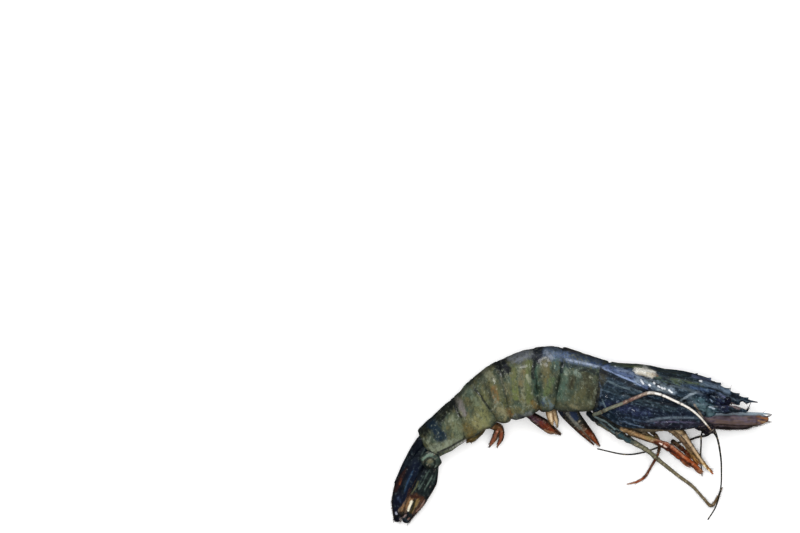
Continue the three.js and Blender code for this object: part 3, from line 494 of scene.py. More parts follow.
# %% Brush strokes on the tail rings
RING_PAINT = {
    "teal_front": ([(6, 32), (-6, 30), (-20, 30)], 11, "303e36", 0.75, 0.7),
    "brown_1": ([(1.6, 34), (2.2, 28.6), (4.4, 24.6)], 3, "352f19", 0.9, 0.7),
    "brown_front": ([(12, 38), (10, 28), (8, 18)], 2.4, "2f2e24", 0.9, 0.4),
    "grey_1": ([(-9.2, 29), (-10.6, 22)], 2.2, "4f5f52", 0.8, 1),
    "dark_1": ([(-11.6, 40), (-12.4, 30), (-14, 18)], 1.3, "2b3527", 0.85, 0.4),
    # Painted glints: pale specks where light glances off the wet shell.
    "glints_1": ([(-7, 38), (-2, 37)], 2, "9fab9c", 0.85, "grain"),
    "low_1": ([(-12, 17), (0, 16), (6, 17)], 2, "504e39", 0.8, 0.8),
    # Painted reflection: the milky blue sheen along the back of the first ring, with a bright line in it.
    "bloom_low": ([(10, 39), (0, 40.6), (-12, 43.2), (-24, 43.8)], 1.6, "52627f", 0.9, 0.8),
    "bloom_line": ([(9, 38.6), (0, 40.8), (-9, 42.6)], 0.6, "a9b6cd", 0.8, 0.8),
    "bloom_top": ([(10, 41.4), (-2, 44.6), (-14, 46.8), (-22, 46)], 2.0, "263a5e", 0.95, 0.7),
    "brown_back": ([(6, 45), (-2, 47.4), (-10, 49)], 1.2, "3a2620", 0.85, 0.6),
    "navy_back": ([(-10, 48.6), (-20, 49)], 1.6, "131b2c", 0.95, 0.4),
    "navy_2": ([(-24.6, 48.4), (-26, 43.4)], 3.3, "070f22", 1, 0.1),
    "ochre_2": ([(-20.4, 42), (-20, 33), (-19.4, 26)], 2.4, "5f5836", 0.85, 0.8),
    "blue_2": ([(-15, 44), (-14.6, 38)], 1.8, "46605c", 0.8, 0.8),
    "dark_2": ([(-26.4, 41), (-27, 34), (-25.4, 24)], 0.9, "1f2a2b", 0.9, 0.3),
    # Painted glints on the second ring.
    "glints_2": ([(-16, 40), (-14, 35)], 2, "a5b3a0", 0.85, "grain"),
    "low_2": ([(-20.6, 19.8), (-17.2, 16)], 1.6, "61747c", 0.85, 1),
    "grey_3": ([(-42, 44.6), (-36, 44.6), (-29, 46)], 2.2, "6f7276", 0.85, 0.8),
    "green_3": ([(-30, 41), (-31, 30), (-30, 20)], 2, "5d663a", 0.8, 0.9),
    "green_3b": ([(-38.6, 38), (-37.6, 26)], 1.8, "62673a", 0.8, 0.9),
    "grey_3b": ([(-34.6, 38), (-34, 28), (-33, 18)], 1.6, "7a7c66", 0.75, 1),
    # Painted glints on the third ring.
    "glints_3": ([(-34, 37), (-32, 30)], 2.4, "b0ab90", 0.85, "grain"),
    "navy_3": ([(-46.6, 43), (-43.6, 37)], 3.4, "080d18", 1, 0.1),
    "orange_3": ([(-41.6, 14.4), (-40, 11.6)], 1.4, "805a28", 0.9, 0.7),
    "lilac_3": ([(-37, 10.4), (-33, 9.8), (-29, 12)], 1.7, "797e81", 0.85, 1),
    "dark_4": ([(-57, 34), (-52, 24), (-48, 12)], 1.5, "38382a", 0.8, 0.6),
    "olive_4": ([(-52, 36), (-47, 24), (-43, 15)], 2, "5c5d38", 0.8, 0.9),
    "orange_4": ([(-49.4, 26.4), (-47.4, 19.4)], 1.5, "735530", 0.85, 1),
    "low_4": ([(-47, 15), (-43, 11)], 2.8, "827c5c", 0.8, 1),
    "low_5": ([(-60, 8), (-54, 4)], 2.6, "817d54", 0.9, 0.6),
    "grey_4": ([(-54, 36), (-50, 32)], 1.8, "84846f", 0.8, 0.9),
    "lilac_5": ([(-69.2, 19.6), (-66, 12.8)], 1.8, "77716f", 0.9, 0.8),
    "olive_5": ([(-57, 20), (-54, 9)], 3.8, "77784e", 0.9, 0.7),
    "teal_5": ([(-66, 28), (-58, 18)], 1.8, "5b6a5a", 0.8, 0.9),
    "dark_6": ([(-74, 17), (-82, 10), (-89, 3)], 3.8, "0c1111", 0.97, 0.35),
    "blue_6": ([(-85, 8), (-81.4, 3), (-78.6, -1.6)], 2.8, "12293c", 0.97, 0.3),
    "ochre_6": ([(-66, 4), (-62, 1), (-64, -3)], 2.6, "64552a", 0.9, 0.7),
    "olive_6": ([(-71, 9), (-68, -2)], 3, "6b745a", 0.85, 0.8),
    "grey_6": ([(-84, -8), (-74, -5), (-68, -4)], 2.4, "7d8572", 0.9, 0.7),
    "pale_rim_6": ([(-79.6, -11.4), (-72, -7.4), (-64.6, -3.4)], 1.0, "d9cfdb", 1, 0.05),
    "teal_1": ([(-10, 38), (-11, 30), (-13, 22)], 2, "3f5549", 0.85, 0.6),
    "white_1": ([(-4, 35.6), (-1.4, 33.6)], 1.2, "76857a", 0.8, 0.8),
    "beige_1": ([(-6.6, 17.2), (-2, 15.2)], 0.9, "7c7658", 0.8, 1),
    "hairy_2": ([(-27.6, 18.8), (-25.6, 15.8), (-23.4, 14)], 1.3, "6e5728", 0.85, 0.7),
    "green_2": ([(-26, 38), (-26.4, 30), (-25, 24)], 1.8, "3a5547", 0.85, 0.7),
    # Painted reflection: blue-grey sheen along the backs of the second and third rings.
    "sheen_back": ([(-14, 47.2), (-20, 47.4)], 1.8, "5c6b80", 0.85, 0.7),
    "sheen_back_3": ([(-31, 45.6), (-38, 43)], 2.6, "62666f", 0.85, 0.7),
    "brown_1b": ([(-5.4, 31.8), (-6.6, 27.6)], 1.6, "312d1b", 0.9, 0.7),
    "shade_1": ([(-10, 39.8), (-1, 38), (4.6, 36.2), (9, 34.8)], 1.2, "1f3036", 0.9, 0.5),
    "arc_1": ([(-2, 36.4), (4, 37), (7.4, 35)], 0.6, "1d221b", 0.9, 0.4),
    "olive_1": ([(0, 24.6), (-4, 20.6)], 2.2, "575436", 0.8, 0.9),
    "speck_1": ([(4, 33), (5.4, 32)], 0.6, "8a8c78", 0.9, 0.5),
    "speck_1b": ([(-9.6, 35.6), (-9, 34.6)], 0.7, "7a8a80", 0.9, 0.5),
    # Painted reflection: blue sheen on the back of the second ring.
    "sheen_band_2": ([(-15, 45.2), (-12, 46), (-9, 45)], 1.6, "637699", 0.85, 0.7),
    "sheen_2": ([(-20, 46.4), (-17, 43.4)], 1.2, "8b93a0", 0.8, 0.9),
    # Painted shadow under the lip of the ring in front, at the joints.
    "joint_2": ([(-11.4, 40), (-11.8, 35.6)], 0.8, "14222b", 0.95, 0.3),
    "joint_2b": ([(-12.8, 32.4), (-14.6, 26.4)], 1.1, "252b1a", 0.9, 0.5),
    "joint_3": ([(-26.8, 39.6), (-28, 36), (-27.6, 32.6)], 0.9, "1d2120", 0.95, 0.3),
    "joint_3b": ([(-25.6, 28), (-23.6, 24.8)], 0.9, "2c3823", 0.85, 0.6),
    "green_2b": ([(-17, 31), (-20.6, 24)], 1.8, "50623f", 0.8, 0.9),
    "navy_spot_2": ([(-23, 19), (-21.6, 17.6)], 0.8, "2b394e", 0.85, 0.6),
    "brown_3": ([(-33, 36), (-34.6, 28)], 1.4, "655a38", 0.8, 0.9),
    "speck_3": ([(-30.8, 33.6), (-29.6, 30.6)], 0.9, "8d9078", 0.85, 0.9),
    "lime_3": ([(-37.4, 26), (-37, 21.6)], 1.6, "5f6b38", 0.8, 0.9),
    "rim_line_6": ([(-80.6, -9.6), (-74, -6.6), (-66, -2)], 0.45, "17161b", 0.9, 0.3),
    # Painted shadow under the lips at the rear joints.
    "joint_5": ([(-60.4, 26.3), (-56, 21.4), (-54.6, 18.6), (-50.6, 13.8)], 0.55, "171c19", 0.9, 0.5),
    "joint_6": ([(-72.4, 19), (-70.4, 14.5), (-67.6, 10.4)], 0.65, "12171a", 0.95, 0.4),
    "joint_dot": ([(-69.4, 11.4), (-68.8, 10.6)], 0.4, "b0b4ab", 0.9, 0.4),
    "pale_4": ([(-45.6, 32.6), (-42.4, 25)], 0.7, "7d7a62", 0.85, 0.8),
    "pale_4b": ([(-43.4, 25.8), (-42.8, 23.4)], 0.5, "a39c7c", 0.9, 0.6),
    "navy_spot_3": ([(-35.4, 11.6), (-33.4, 10.2)], 0.8, "2a3340", 0.85, 0.6),
    "white_3": ([(-38, 9.8), (-33.6, 8.4), (-30.4, 9.6)], 0.5, "b0b4ad", 0.85, 0.8),
    "shade_1b": ([(2, 31), (3, 22)], 4.5, "3f4131", 0.4, 0.8),
}
print("brush strokes on the rings:", len(RING_PAINT))


# %% Skin of the tail rings
def ring_skin():
    b = Bench("wet_olive_shell", (0.8, 1.8, 1), 8)
    cloud, small = b.noise(6, 4, seed=1.0), b.noise(1.5, 4, 0.7, seed=2.0)
    brush = b.noise(2.2, 4, 0.65, (0.8, 2, 1), 6.0, 10)
    mottle = b.noise(3.4, 5, 0.7, (0.9, 1.5, 1), 9.0, 12)
    colour = b.mix(cloud.ramp(0.2, 0.8), tone("4f4f37"), tone("434e40"))
    colour = b.coats(
        colour,
        (brush.ramp(0.5, 0.9) * 0.7, "68633f"),
        (brush.ramp(0.5, 0.1) * 0.7, "2c3831"),
        (mottle.ramp(0.58, 1) * 0.4, "8f9683"),
    )
    colour = b.strokes(colour, RING_PAINT)
    colour = b.coats(
        colour,
        # Painted shade near the joints, under each lip and along the outline; the back is partly its own
        # darker middle line.
        (b.mark("overlap_shade") * (0.1 + cloud * 0.7), "1d231d"),
        (mottle.ramp(0.45, 0) * 0.7, "20281f"),
        (mottle.ramp(0.62, 1) * 0.2, "8f9683"),
        (small.ramp(0.4, 0) * 0.6, "191d16"),
        (small.ramp(0.66, 1) * 0.45, "9aa08c"),
        (b.mark("back") * (0.35 + cloud * 0.4), "141a1c"),
        (b.mark("edge") * (0.3 + cloud * 0.6), "1d1f20"),
        (b.mark("joint") * (0.05 + cloud * 0.7), "0f1415"),
    )
    flesh = b.mix(mottle.ramp(0.2, 0.8), tone("5f5a48"), tone("948b76"))
    flesh = b.coats(flesh, (cloud.ramp(0.6, 1) * 0.5, "7a5a44"))
    colour = b.mix(b.mark("flesh"), colour, flesh)
    return b.finish(colour, 0.32 + small * 0.3, wet_bump(b), 0.5, 0.22, WET)


# %% Skins of limbs, blades and whips
def limb_skin(name, tones, joint, speck="241f1a", strokes={}):
    """A limb whose colour changes at shares of its length, darker at its joints, and darker at
    its sides, partly its own edge ridges and partly painted shade.
    """
    b = Bench(name)
    cloud, small = b.noise(2.6, 4, 0.65, seed=1.0), b.noise(1.2, 3, 0.7, seed=5.0)
    along = b.mark("along") + (cloud - 0.5) * 0.12
    stops = list(tones.items())
    colour = tone(stops[0][1])
    for (low, _), (high, code) in zip(stops, stops[1:]):
        colour = b.mix(along.ramp(low, high), colour, tone(code))
    streak = b.noise(1.1, 3, 0.6, (2.4, 0.7, 1), 7.0, 35)
    colour = b.coats(
        colour,
        (streak.ramp(0.55, 1) * 0.4, "d6c3a6"),
        (streak.ramp(0.45, 0) * 0.6, speck),
        (small.ramp(0.4, 0) * 0.6, speck),
        # Darker sides: partly the limb's own edge ridges, partly painted shade.
        (b.mark("side") * 0.65, speck),
        (b.mark("joint") * 0.75, joint),
    )
    colour = b.strokes(colour, strokes)
    return b.finish(colour, 0.34 + cloud * 0.2, wet_bump(b, 1.6, 0.4), 0.4, 0.09, WET)


# %% [markdown]
# ## The head shell
#
# The carapace of a prawn is one stiff shell, open below and in front. It has a keel that runs
# into the beak, a groove that curves down behind the cheek, ridges along the cheek and the lower
# edge, a notch for each eye and a small spine below it. The shell could be cut from a lofted tube
# with booleans. Here the rolled grid carries everything: the front rows are pushed back or forward
# by angle, which cuts the notch and draws the spine, and the relief is drawn as lines seen from the
# side.

# %% Lines of the head shell, seen from the side
HEAD_END = CUT_AT[REAR_OF_CARAPACE]
HEAD_DENT = 0.36
HEAD_ROWS = [  # row out of 180, share of the way to the skin, mm along
    (0, 0, 3.4), (4, 0.55, 2.9), (8, 0.84, 1.8), (10, 0.93, 1.0), (13, 0.965, 0.15), (15, 0.985, -0.1),
    (17, 1.0, 0.3), (20, 1.0, 1.2), (150, 1.0, HEAD_END - 3), (156, 1.01, HEAD_END - 1),
    (160, 1.004, HEAD_END + 0.3), (163, 0.98, HEAD_END + 0.5), (166, 0.95, HEAD_END + 0.2),
    (172, 0.86, HEAD_END - 1.6), (176, 0.55, HEAD_END - 2.9), (180, 0, HEAD_END - 3.6),
]
MARGIN = [  # angle from the back, mm by which the front edge is set back
    (0, -1.5), (20, -1.5), (35, -3.4), (50, -3.6), (62, -1.5), (70, 1.6), (79, 1.2), (85, -2.4), (91, 0.6),
    (100, 1.6), (125, 2.8), (145, 4.6), (160, 7), (180, 10),
]
REAR_EDGE = [  # angle from the back, mm by which the rear edge reaches over the first ring
    (0, -2.2), (16, -1.8), (28, 0.6), (42, 3), (56, 3.6), (80, 2.4), (105, 1.2), (130, 0.3),
    (150, 0), (180, 0),
]
HEAD_GROOVES = [
    [(30, 35), (37, 32.5), (44, 27), (50, 22.5), (57, 19.5)],
    [(57, 19.5), (61, 15.5), (67, 13)],
    [(22, 24), (34, 21), (46, 18.5), (55, 18)],
]
HEAD_RIDGES = [
    [(36, 8.4), (46, 9.8), (58, 10.2), (68, 10)],
    [(50, 28), (58, 26), (67, 23)],
    [(60, 19), (66, 17.6), (72, 17.4)],
]
GROOVE_WIDTH, GROOVE_DEPTH = 0.9, 0.7  # mm
RIDGE_WIDTH, RIDGE_HEIGHT = 0.7, 0.55
KEEL_HEIGHT, LIP_HEIGHT = 0.9, 0.4
SET_BACK_UNTIL = 30  # mm along, where the shape of the front edge has faded out


# %% Roll the head shell
def profile(rows, u):
    """Share of the way to the skin and mm along, at shares u of a table of rows."""
    row, share, along = np.array(rows, float).T
    return np.interp(u * row[-1], row, share), np.interp(u * row[-1], row, along)


def push_out(points, share, along, angle, relief, **shape):
    """Moves skin points away from the body's middle line by relief, in mm."""
    middle = body_point(along, angle, share * 0.5, **shape)
    way = points - middle
    length = np.maximum(np.linalg.norm(way, axis=1), 1e-6)[:, None]
    return points + way / length * (relief * (share > 0.9))[:, None]


def place_head(u, v):
    """Points and marks of the head shell. turn is the angle from the back in degrees."""
    share, along = profile(HEAD_ROWS, u)
    angle = (v - 0.5) * 2 * math.pi
    turn = np.degrees(np.abs(angle))
    set_back = np.interp(turn, *np.array(MARGIN, float).T)
    along = along + set_back * share**2 * (1 - ramp(along, 2, SET_BACK_UNTIL))
    over = np.interp(turn, *np.array(REAR_EDGE, float).T) * ramp(along, HEAD_END - 16, HEAD_END - 1)
    rim_at = HEAD_END + over
    along = along + over
    points = body_point(along, angle, share, dent=HEAD_DENT)
    x = points[:, 0]
    groove = sum(bell(line_distance(points, g), 0, GROOVE_WIDTH) for g in HEAD_GROOVES)
    ridge = sum(bell(line_distance(points, r), 0, RIDGE_WIDTH) for r in HEAD_RIDGES)
    skin = ramp(along, 0, 2) * (1 - ramp(along, rim_at - 2, rim_at))
    keel = bell(turn, 0, 6) * ramp(x, 16, 40) - 0.5 * bell(turn, 14, 6) * ramp(x, 26, 44)
    relief = ridge * RIDGE_HEIGHT - groove * GROOVE_DEPTH + keel * KEEL_HEIGHT
    relief += lumps(points, 9, 1) * 0.35 + lumps(points, 3.4, 2) * 0.14
    lift = LIP_HEIGHT * ramp(along, HEAD_END - 6, HEAD_END - 1) * ramp(over, 0, 2)
    points = push_out(points, share, along, angle, relief * skin + lift, dent=HEAD_DENT)
    front = bell(along - set_back * (1 - ramp(along, 2, SET_BACK_UNTIL)), 0.2, 0.9)
    rim = np.maximum(front, bell(along, rim_at + 0.2, 0.8)) * (share > 0.9)
    side = ramp(turn, 30, 60)
    # The back is marked for darkening, partly the shell's darker keel and partly painted shade along the
    # outline.
    back = bell(turn, 0, 20) * (share > 0.9)
    marks = {"groove": groove * skin * side, "ridge": ridge * skin, "rim": rim, "keel": back}
    return points, {**marks, **painted(points, HEAD_PAINT | SPARK_PAINT)}


head_shell = roll("head_shell", 220, 240, place_head)
print("head shell faces:", len(head_shell.data.polygons))

# %% [markdown]
# ## The beak
#
# The rostrum is a blade that rises from the keel and droops at its tip, with forward-pointing
# teeth above and a few small ones below. It could be extruded from a drawn outline. Rolling it as
# a very flat tube keeps it thick at the root, ribbed along its middle and sharp at its edges.

# %% Roll the beak
BEAK_ROOT, BEAK_TIP = 46, 98.6  # x
BEAK_TOP = [(BEAK_ROOT, 34.5), (56, 35.2), (65, 33.6), (73, 30.6), (79, 27.2), (89, 21.9), (94, 19.9),
            (BEAK_TIP, 18.8)]
BEAK_LOW = [(BEAK_ROOT, 29), (52, 28), (66, 23), (76, 19.4), (84, 17.6), (87.2, 17.1), (89.7, 18.9),
            (92.5, 17.7), (94.5, 18.3), (BEAK_TIP, 18.2)]
BEAK_HALF = [(BEAK_ROOT, 2.6), (60, 2.2), (72, 1.4), (86, 0.9), (BEAK_TIP, 0.3)]  # x, half breadth
TOP_TEETH = [(54, 1.0), (64.6, 1.2), (72, 1.3), (77.4, 1.4), (83, 1.4), (88, 1.2), (93, 1.0)]
LOW_TEETH = [(84, 0.8), (88.4, 0.8), (92.4, 0.7)]  # x of the tooth's tip, its height
BEAK_MIDDLE = CUTS[0, 5]
RIB_AT = 0.42  # share of the way from the lower edge to the upper one


def teeth(x, places, length=3.6):
    """How far a row of forward-pointing teeth stands out at x."""
    rise = np.zeros_like(x)
    for tip, height in places:
        back = np.clip((x - tip + length) / length, 0, 1)
        rise = np.maximum(rise, height * back**1.6 * (x <= tip) * (x > tip - length))
    return rise


def place_beak(u, v):
    """Points and marks of the beak. across runs from 0 on its lower edge to 1 on its upper one."""
    x = BEAK_ROOT + (BEAK_TIP - BEAK_ROOT) * u
    grid = np.linspace(0, 1, 400)
    top, low = spline(BEAK_TOP, grid), spline(BEAK_LOW, grid)
    high = np.interp(x, top[:, 0], top[:, 1])
    deep = np.interp(x, low[:, 0], low[:, 1])
    turn = v * 2 * math.pi
    rise, drop = teeth(x, TOP_TEETH), teeth(x, LOW_TEETH, 2.6)
    across = (1 + np.cos(turn)) / 2
    y = deep - drop * (1 - across) ** 3 + (high - deep) * across + rise * across**3
    half = np.interp(x, *np.array(BEAK_HALF).T)
    rib = 1 + 0.5 * bell(across, RIB_AT, 0.1)
    z = BEAK_MIDDLE + np.sin(turn) * half * rib * (1 - 0.45 * across**3)
    lean = rise * across**3 * 0.5 + drop * (1 - across) ** 3 * 0.4
    points = np.column_stack([x + lean, y, z])
    for end in (1, 0):
        points[u == end] = points[u == end].mean(0)
    # The beak's edges are marked for darkening, partly its darker toothed edges and partly painted shade
    # along its outline.
    rim = np.clip(bell(across, 1, 0.06) + bell(across, 0, 0.05), 0, 1) * ramp(x, 60, 70)
    points += lumps(points, 2.5, 3)[:, None] * np.array([0, 0, 0.12])
    marks = {"groove": bell(across, 0.62, 0.1) * 0.6, "ridge": bell(across, RIB_AT, 0.08), "keel": rim * 0.6}
    return points, {**marks, **painted(points, HEAD_PAINT | SPARK_PAINT)}


beak = roll("beak", 260, 28, place_beak)
print("beak reaches x, mm:", round(max(p.co.x for p in beak.data.vertices) / MM, 1))

# %% [markdown]
# ## Six rings of the tail
#
# Each ring has a polished front that slides under the ring before it, a side flap with a rounded
# lower corner, and a thin rear lip that covers the next ring. The last three carry a keel along
# the back. One function rolls them all, because they differ only in their place and their keel.

# %% Rows of a ring
def ring_rows(front, rear, last):
    """Rows out of 90 as for the head shell: polished front, skin, and a lip or a closed end."""
    rows = [
        (0, 0, front - 3), (3, 0.55, front - 2.3), (6, 0.88, front - 0.9), (9, 0.975, front + 0.3),
        (13, 0.99, front + 1.1), (17, 0.996, front + 2.1), (22, 1, front + 3.6),
        (40, 1.006, (front + rear) / 2), (66, 1.004, rear - 1.6), (70, 1.003, rear - 0.5),
    ]
    if last:
        ends = [(74, 0.985, rear + 0.6), (80, 0.9, rear + 1.8), (86, 0.5, rear + 3.4), (90, 0, rear + 4)]
    else:
        ends = [(73, 0.995, rear + 0.25), (76, 0.97, rear + 0.35), (79, 0.952, rear),
                (84, 0.86, rear - 1.6), (87, 0.55, rear - 2.9), (90, 0, rear - 3.6)]
    return rows + ends


JOINT_WAVES = {  # cut: angle from the back, mm by which the joint bows towards the tail
    5: [(0, 0), (45, -1.2), (90, -0.6), (140, 0)],
    6: [(0, 0), (45, 1.8), (90, 0.8), (140, 0)],
    7: [(0, 0), (50, -1.4), (90, -0.6), (140, 0)],
    8: [(0, 0), (45, 1.7), (90, 0), (125, -1.1), (160, 0)],
    9: [(0, 0), (60, 1), (90, 0.5), (125, 1.5), (160, 0)],
}


def wave(cut, turn):
    """How far the joint at a cut bows towards the tail, at an angle from the back."""
    return np.interp(turn, *np.array(JOINT_WAVES[cut], float).T) if cut in JOINT_WAVES else 0


def uneven_line(values, size, seed):
    """Smooth unevenness along one line instead of over a surface."""
    return lumps(np.column_stack([values, np.zeros_like(values), np.zeros_like(values)]), size, seed)


print("a ring has", len(ring_rows(0, 1, False)), "rows to go by")


# %% Roll the rings
KNOB_HEIGHT, BULGE_HEIGHT, FOLD_HEIGHT = 0.5, 0.3, 0.55  # mm
CREASE_DEPTH, STEP_DEPTH, SCAR_DEPTH = 0.45, 0.16, 0.5
SCAR = [(-74, 5), (-84, -4)]  # a shallow groove along the last ring
FLAP_AT = 101  # angle from the back at which a ring is hinged to the next one


def place_ring(number):
    """The placing of one ring, for roll(). part runs from 0 at its front joint to 1 at its rear."""
    cuts = number + REAR_OF_CARAPACE - 1, number + REAR_OF_CARAPACE
    front, rear = CUT_AT[[*cuts]]
    last = number == 6
    rows = ring_rows(front, rear, last)

    def place(u, v):
        share, along = profile(rows, u)
        angle = (v - 0.5) * 2 * math.pi
        turn = np.degrees(np.abs(angle))
        part = np.clip((along - front) / (rear - front), 0, 1)
        bow = wave(cuts[0], turn) * (1 - part) + wave(cuts[1], turn) * part
        ragged = [uneven_line(turn * 0.25, 2.5, cut + 20) for cut in cuts]
        bow += 0.5 * (ragged[0] * (1 - part) + ragged[1] * part * (not last))
        edge = np.abs(2 * part - 1) ** 3
        wavy = 0.05 * uneven_line(along, 4.5, 50)
        shape = {"reach": 1.15 - (0.08 * edge - wavy) * (not last), "dent": 0.2 if last else 0.34}
        flat_along, along = along, along + bow
        points = body_point(along, angle, share, **shape)
        keel = bell(turn, 0, 7) * (0.9 if number > 3 else 0.15)
        step = bell(flat_along, front + 3.4, 0.7) * (1 - ramp(turn, 112, 124))
        hinges = bell(flat_along, front + 3, 1.6) + bell(flat_along, rear - 1.4, 1.6)
        knob = bell(turn, FLAP_AT, 8) * hinges
        crease = bell(turn, 116, 5) * ramp(part, 0.12, 0.3) * (1 - ramp(part, 0.75, 0.92))
        scar = bell(line_distance(points, SCAR), 0, 0.8) if last else 0
        bulge = BULGE_HEIGHT * np.sin(math.pi * part) ** 0.7 * ramp(turn, 15, 45)
        relief = keel + knob * KNOB_HEIGHT - crease * CREASE_DEPTH - step * STEP_DEPTH
        relief = relief - scar * SCAR_DEPTH + bulge
        relief += lumps(points, 6, number) * 0.45 + lumps(points, 2.6, number + 9) * 0.16
        flesh = ramp(turn, 148, 158) * (not last)
        folds = bell(part, 0.3, 0.07) + bell(part, 0.75, 0.06) - bell(part, 0.52, 0.14)
        folds = folds + 0.9 * lumps(points, 3.2, 40)
        relief += flesh * folds * FOLD_HEIGHT
        points = push_out(points, share, along, angle, relief, **shape)
        uneven = 0.75 + 0.5 * lumps(points, 4, 31)
        # Painted shade: a dark line of shadow under the lip of the ring in front, and darker bands near both
        # joints. The back is darker, partly the prawn's own darker middle line and partly painted shade
        # along the outline. The lower edge of the first five rings gets painted shade, and the last ring
        # gets two dark lines beside its pale rim.
        joint = bell(flat_along, front + 0.4, 0.9 * uneven) * (share > 0.85)
        overlap_shade = bell(flat_along, front + 1.8, 1.8) * 0.6 + bell(flat_along, rear - 0.4, 0.8) * 0.4
        marks = {
            "joint": np.clip(joint, 0, 1),
            "flesh": flesh,
            "back": bell(turn, 0, 24) * (0.5 if number in (2, 3) else 1),
            "overlap_shade": np.clip(overlap_shade, 0, 1),
            "edge": bell(turn, 134, 5) + bell(turn, 172, 10) if last else bell(turn, 148, 8),
        }
        return points, {**marks, **painted(points, RING_PAINT)}

    return place


rings = [roll(f"tail_ring_{n}", 90, 112, place_ring(n)) for n in range(1, 7)]
print("rings:", [len(ring.data.polygons) for ring in rings])

# %% [markdown]
# ## Limbs
#
# A leg is a chain of tapering tubes with a knob on each side of every joint and a soft, dark waist
# between. Skinned edges or a bevelled curve give a plain pipe, so each limb is rolled along its own
# route, and its breadth swells and narrows with the distance to the nearest joint. The route is
# that of the solid it stands for.


# %% Follow a route
def follow(knots, t):
    """Centre, sideways, upwards and forward directions, half breadth and half depth at shares t."""
    knots = np.array(knots, float)
    centre = spline(knots[:, :3], t)
    ahead = spline(knots[:, :3], np.minimum(t + 1e-3, 1)) - spline(knots[:, :3], np.maximum(t - 1e-3, 0))
    ahead /= np.linalg.norm(ahead, axis=1)[:, None]
    side = np.cross(np.array([0, 0, 1.0]), ahead)
    side /= np.maximum(np.linalg.norm(side, axis=1), 1e-6)[:, None]
    lift = np.cross(ahead, side)
    knot = t * (len(knots) - 1)
    wide, deep = (np.interp(knot, range(len(knots)), knots[:, k]) for k in (3, 4))
    return centre, side, lift, ahead, wide, deep


def measured(knots):
    """Shares of a route and the mm travelled there, for walking along it at an even pace."""
    t = np.linspace(0, 1, 500)
    steps = np.diff(spline(np.array(knots, float)[:, :3], t), axis=0)
    return t, np.append(0, np.cumsum(np.linalg.norm(steps, axis=1)))


def crowded(u, length):
    """Distances along a route at shares u, closer together near its two ends."""
    return length * (u - 0.75 * np.sin(2 * math.pi * u) / (2 * math.pi))


def rounded(share):
    """A quarter circle, which closes the end of a limb: 0 at the end, 1 at its full size."""
    return np.sqrt(np.maximum(1 - (1 - share) ** 2, 0))


# %% Roll a limb
def limb(name, knots, joints=(), knob=0.15, waist=0.22, columns=14, pitch=0.45, uneven=0.06, begin=0,
         strokes={}):
    """A tube along a route, swollen by knob beside each joint and drawn in by waist at it. pitch is
    the mm between rows, and begin is where on its colours, from 0 to 1, the limb starts."""
    t_of, mm_of = measured(knots)
    length = mm_of[-1]
    joint_at = np.interp([j / (len(knots) - 1) for j in joints], t_of, mm_of)

    def place(u, v):
        at = crowded(u, length)
        t = np.interp(at, mm_of, t_of)
        centre, side, lift, _, wide, deep = follow(knots, t)
        size = np.maximum(wide, 0.25)
        swell, near = np.ones_like(at), np.zeros_like(at)
        for j in joint_at:
            swell += knob * (bell(at, j - 1.2 * size, 0.8 * size) + bell(at, j + 1.1 * size, 0.8 * size))
            swell -= waist * bell(at, j, 0.4 * size)
            near = np.maximum(near, bell(at, j, 0.7 * size))
        cap = np.clip(np.minimum(at, length - at) / size, 0, 1)
        swell *= rounded(cap)
        swell *= 1 + uneven * lumps(centre, 3, 5)
        turn = v * 2 * math.pi
        points = centre + side * (np.cos(turn) * wide * swell)[:, None]
        points += lift * (np.sin(turn) * deep * swell)[:, None]
        along = begin + (1 - begin) * at / length
        # The sides are marked for darkening: partly edge ridges, partly painted shade.
        marks = {"along": along, "joint": near, "side": np.abs(np.cos(turn)) ** 3}
        return points, {**marks, **painted(points, strokes)}

    return roll(name, max(int(length / pitch), 8), columns, place)


# %% [markdown]
# ## Bristles
#
# Prawn limbs and blades are fringed with stiff hairs. A particle system would be quick, but hairs
# made of mesh stay with the model. One bristle is modelled by hand from a three-sided cylinder:
# its top is drawn in, extruded and closed to a point. Copies of that one bristle are then turned,
# stretched and bent into rows, and each row is joined to the limb that carries it.

# %% One bristle, by hand
only()
bpy.ops.mesh.primitive_cylinder_add(vertices=3, radius=1, depth=0.5, location=(0, 0, 0.25))
one_bristle = bpy.context.object
bpy.ops.object.mode_set(mode="EDIT")
bpy.ops.mesh.select_all(action="DESELECT")
bpy.ops.object.mode_set(mode="OBJECT")
for point in one_bristle.data.vertices:
    point.select = point.co.z > 0
bpy.ops.object.mode_set(mode="EDIT")
bpy.ops.mesh.select_mode(type="VERT")
bpy.ops.transform.resize(value=(0.7, 0.7, 1))
bpy.ops.mesh.extrude_region_move(TRANSFORM_OT_translate={"value": (0, 0, 0.5)})
bpy.ops.mesh.merge(type="CENTER")
bpy.ops.object.mode_set(mode="OBJECT")
bpy.ops.object.transform_apply(location=True)
BRISTLE = np.array([tuple(p.co) for p in one_bristle.data.vertices])
BRISTLE_FACES = [tuple(f.vertices) for f in one_bristle.data.polygons]
bpy.data.objects.remove(one_bristle)
print("a bristle has", len(BRISTLE), "points and", len(BRISTLE_FACES), "faces")


# %% Rows of bristles
HAIR_SEAM = 0.0005  # mm
OFF_EDGE = 0.25  # share of the depth by which a root may lie above or below the edge
ROOT_AT = 0.93  # share of the half breadth at which bristles are rooted
BEND_AHEAD = 0.35  # share of its length by which a bristle bends forward


def unit(rows):
    """Rows of directions, each made 1 long."""
    return rows / np.maximum(np.linalg.norm(rows, axis=-1), 1e-6)[..., None]


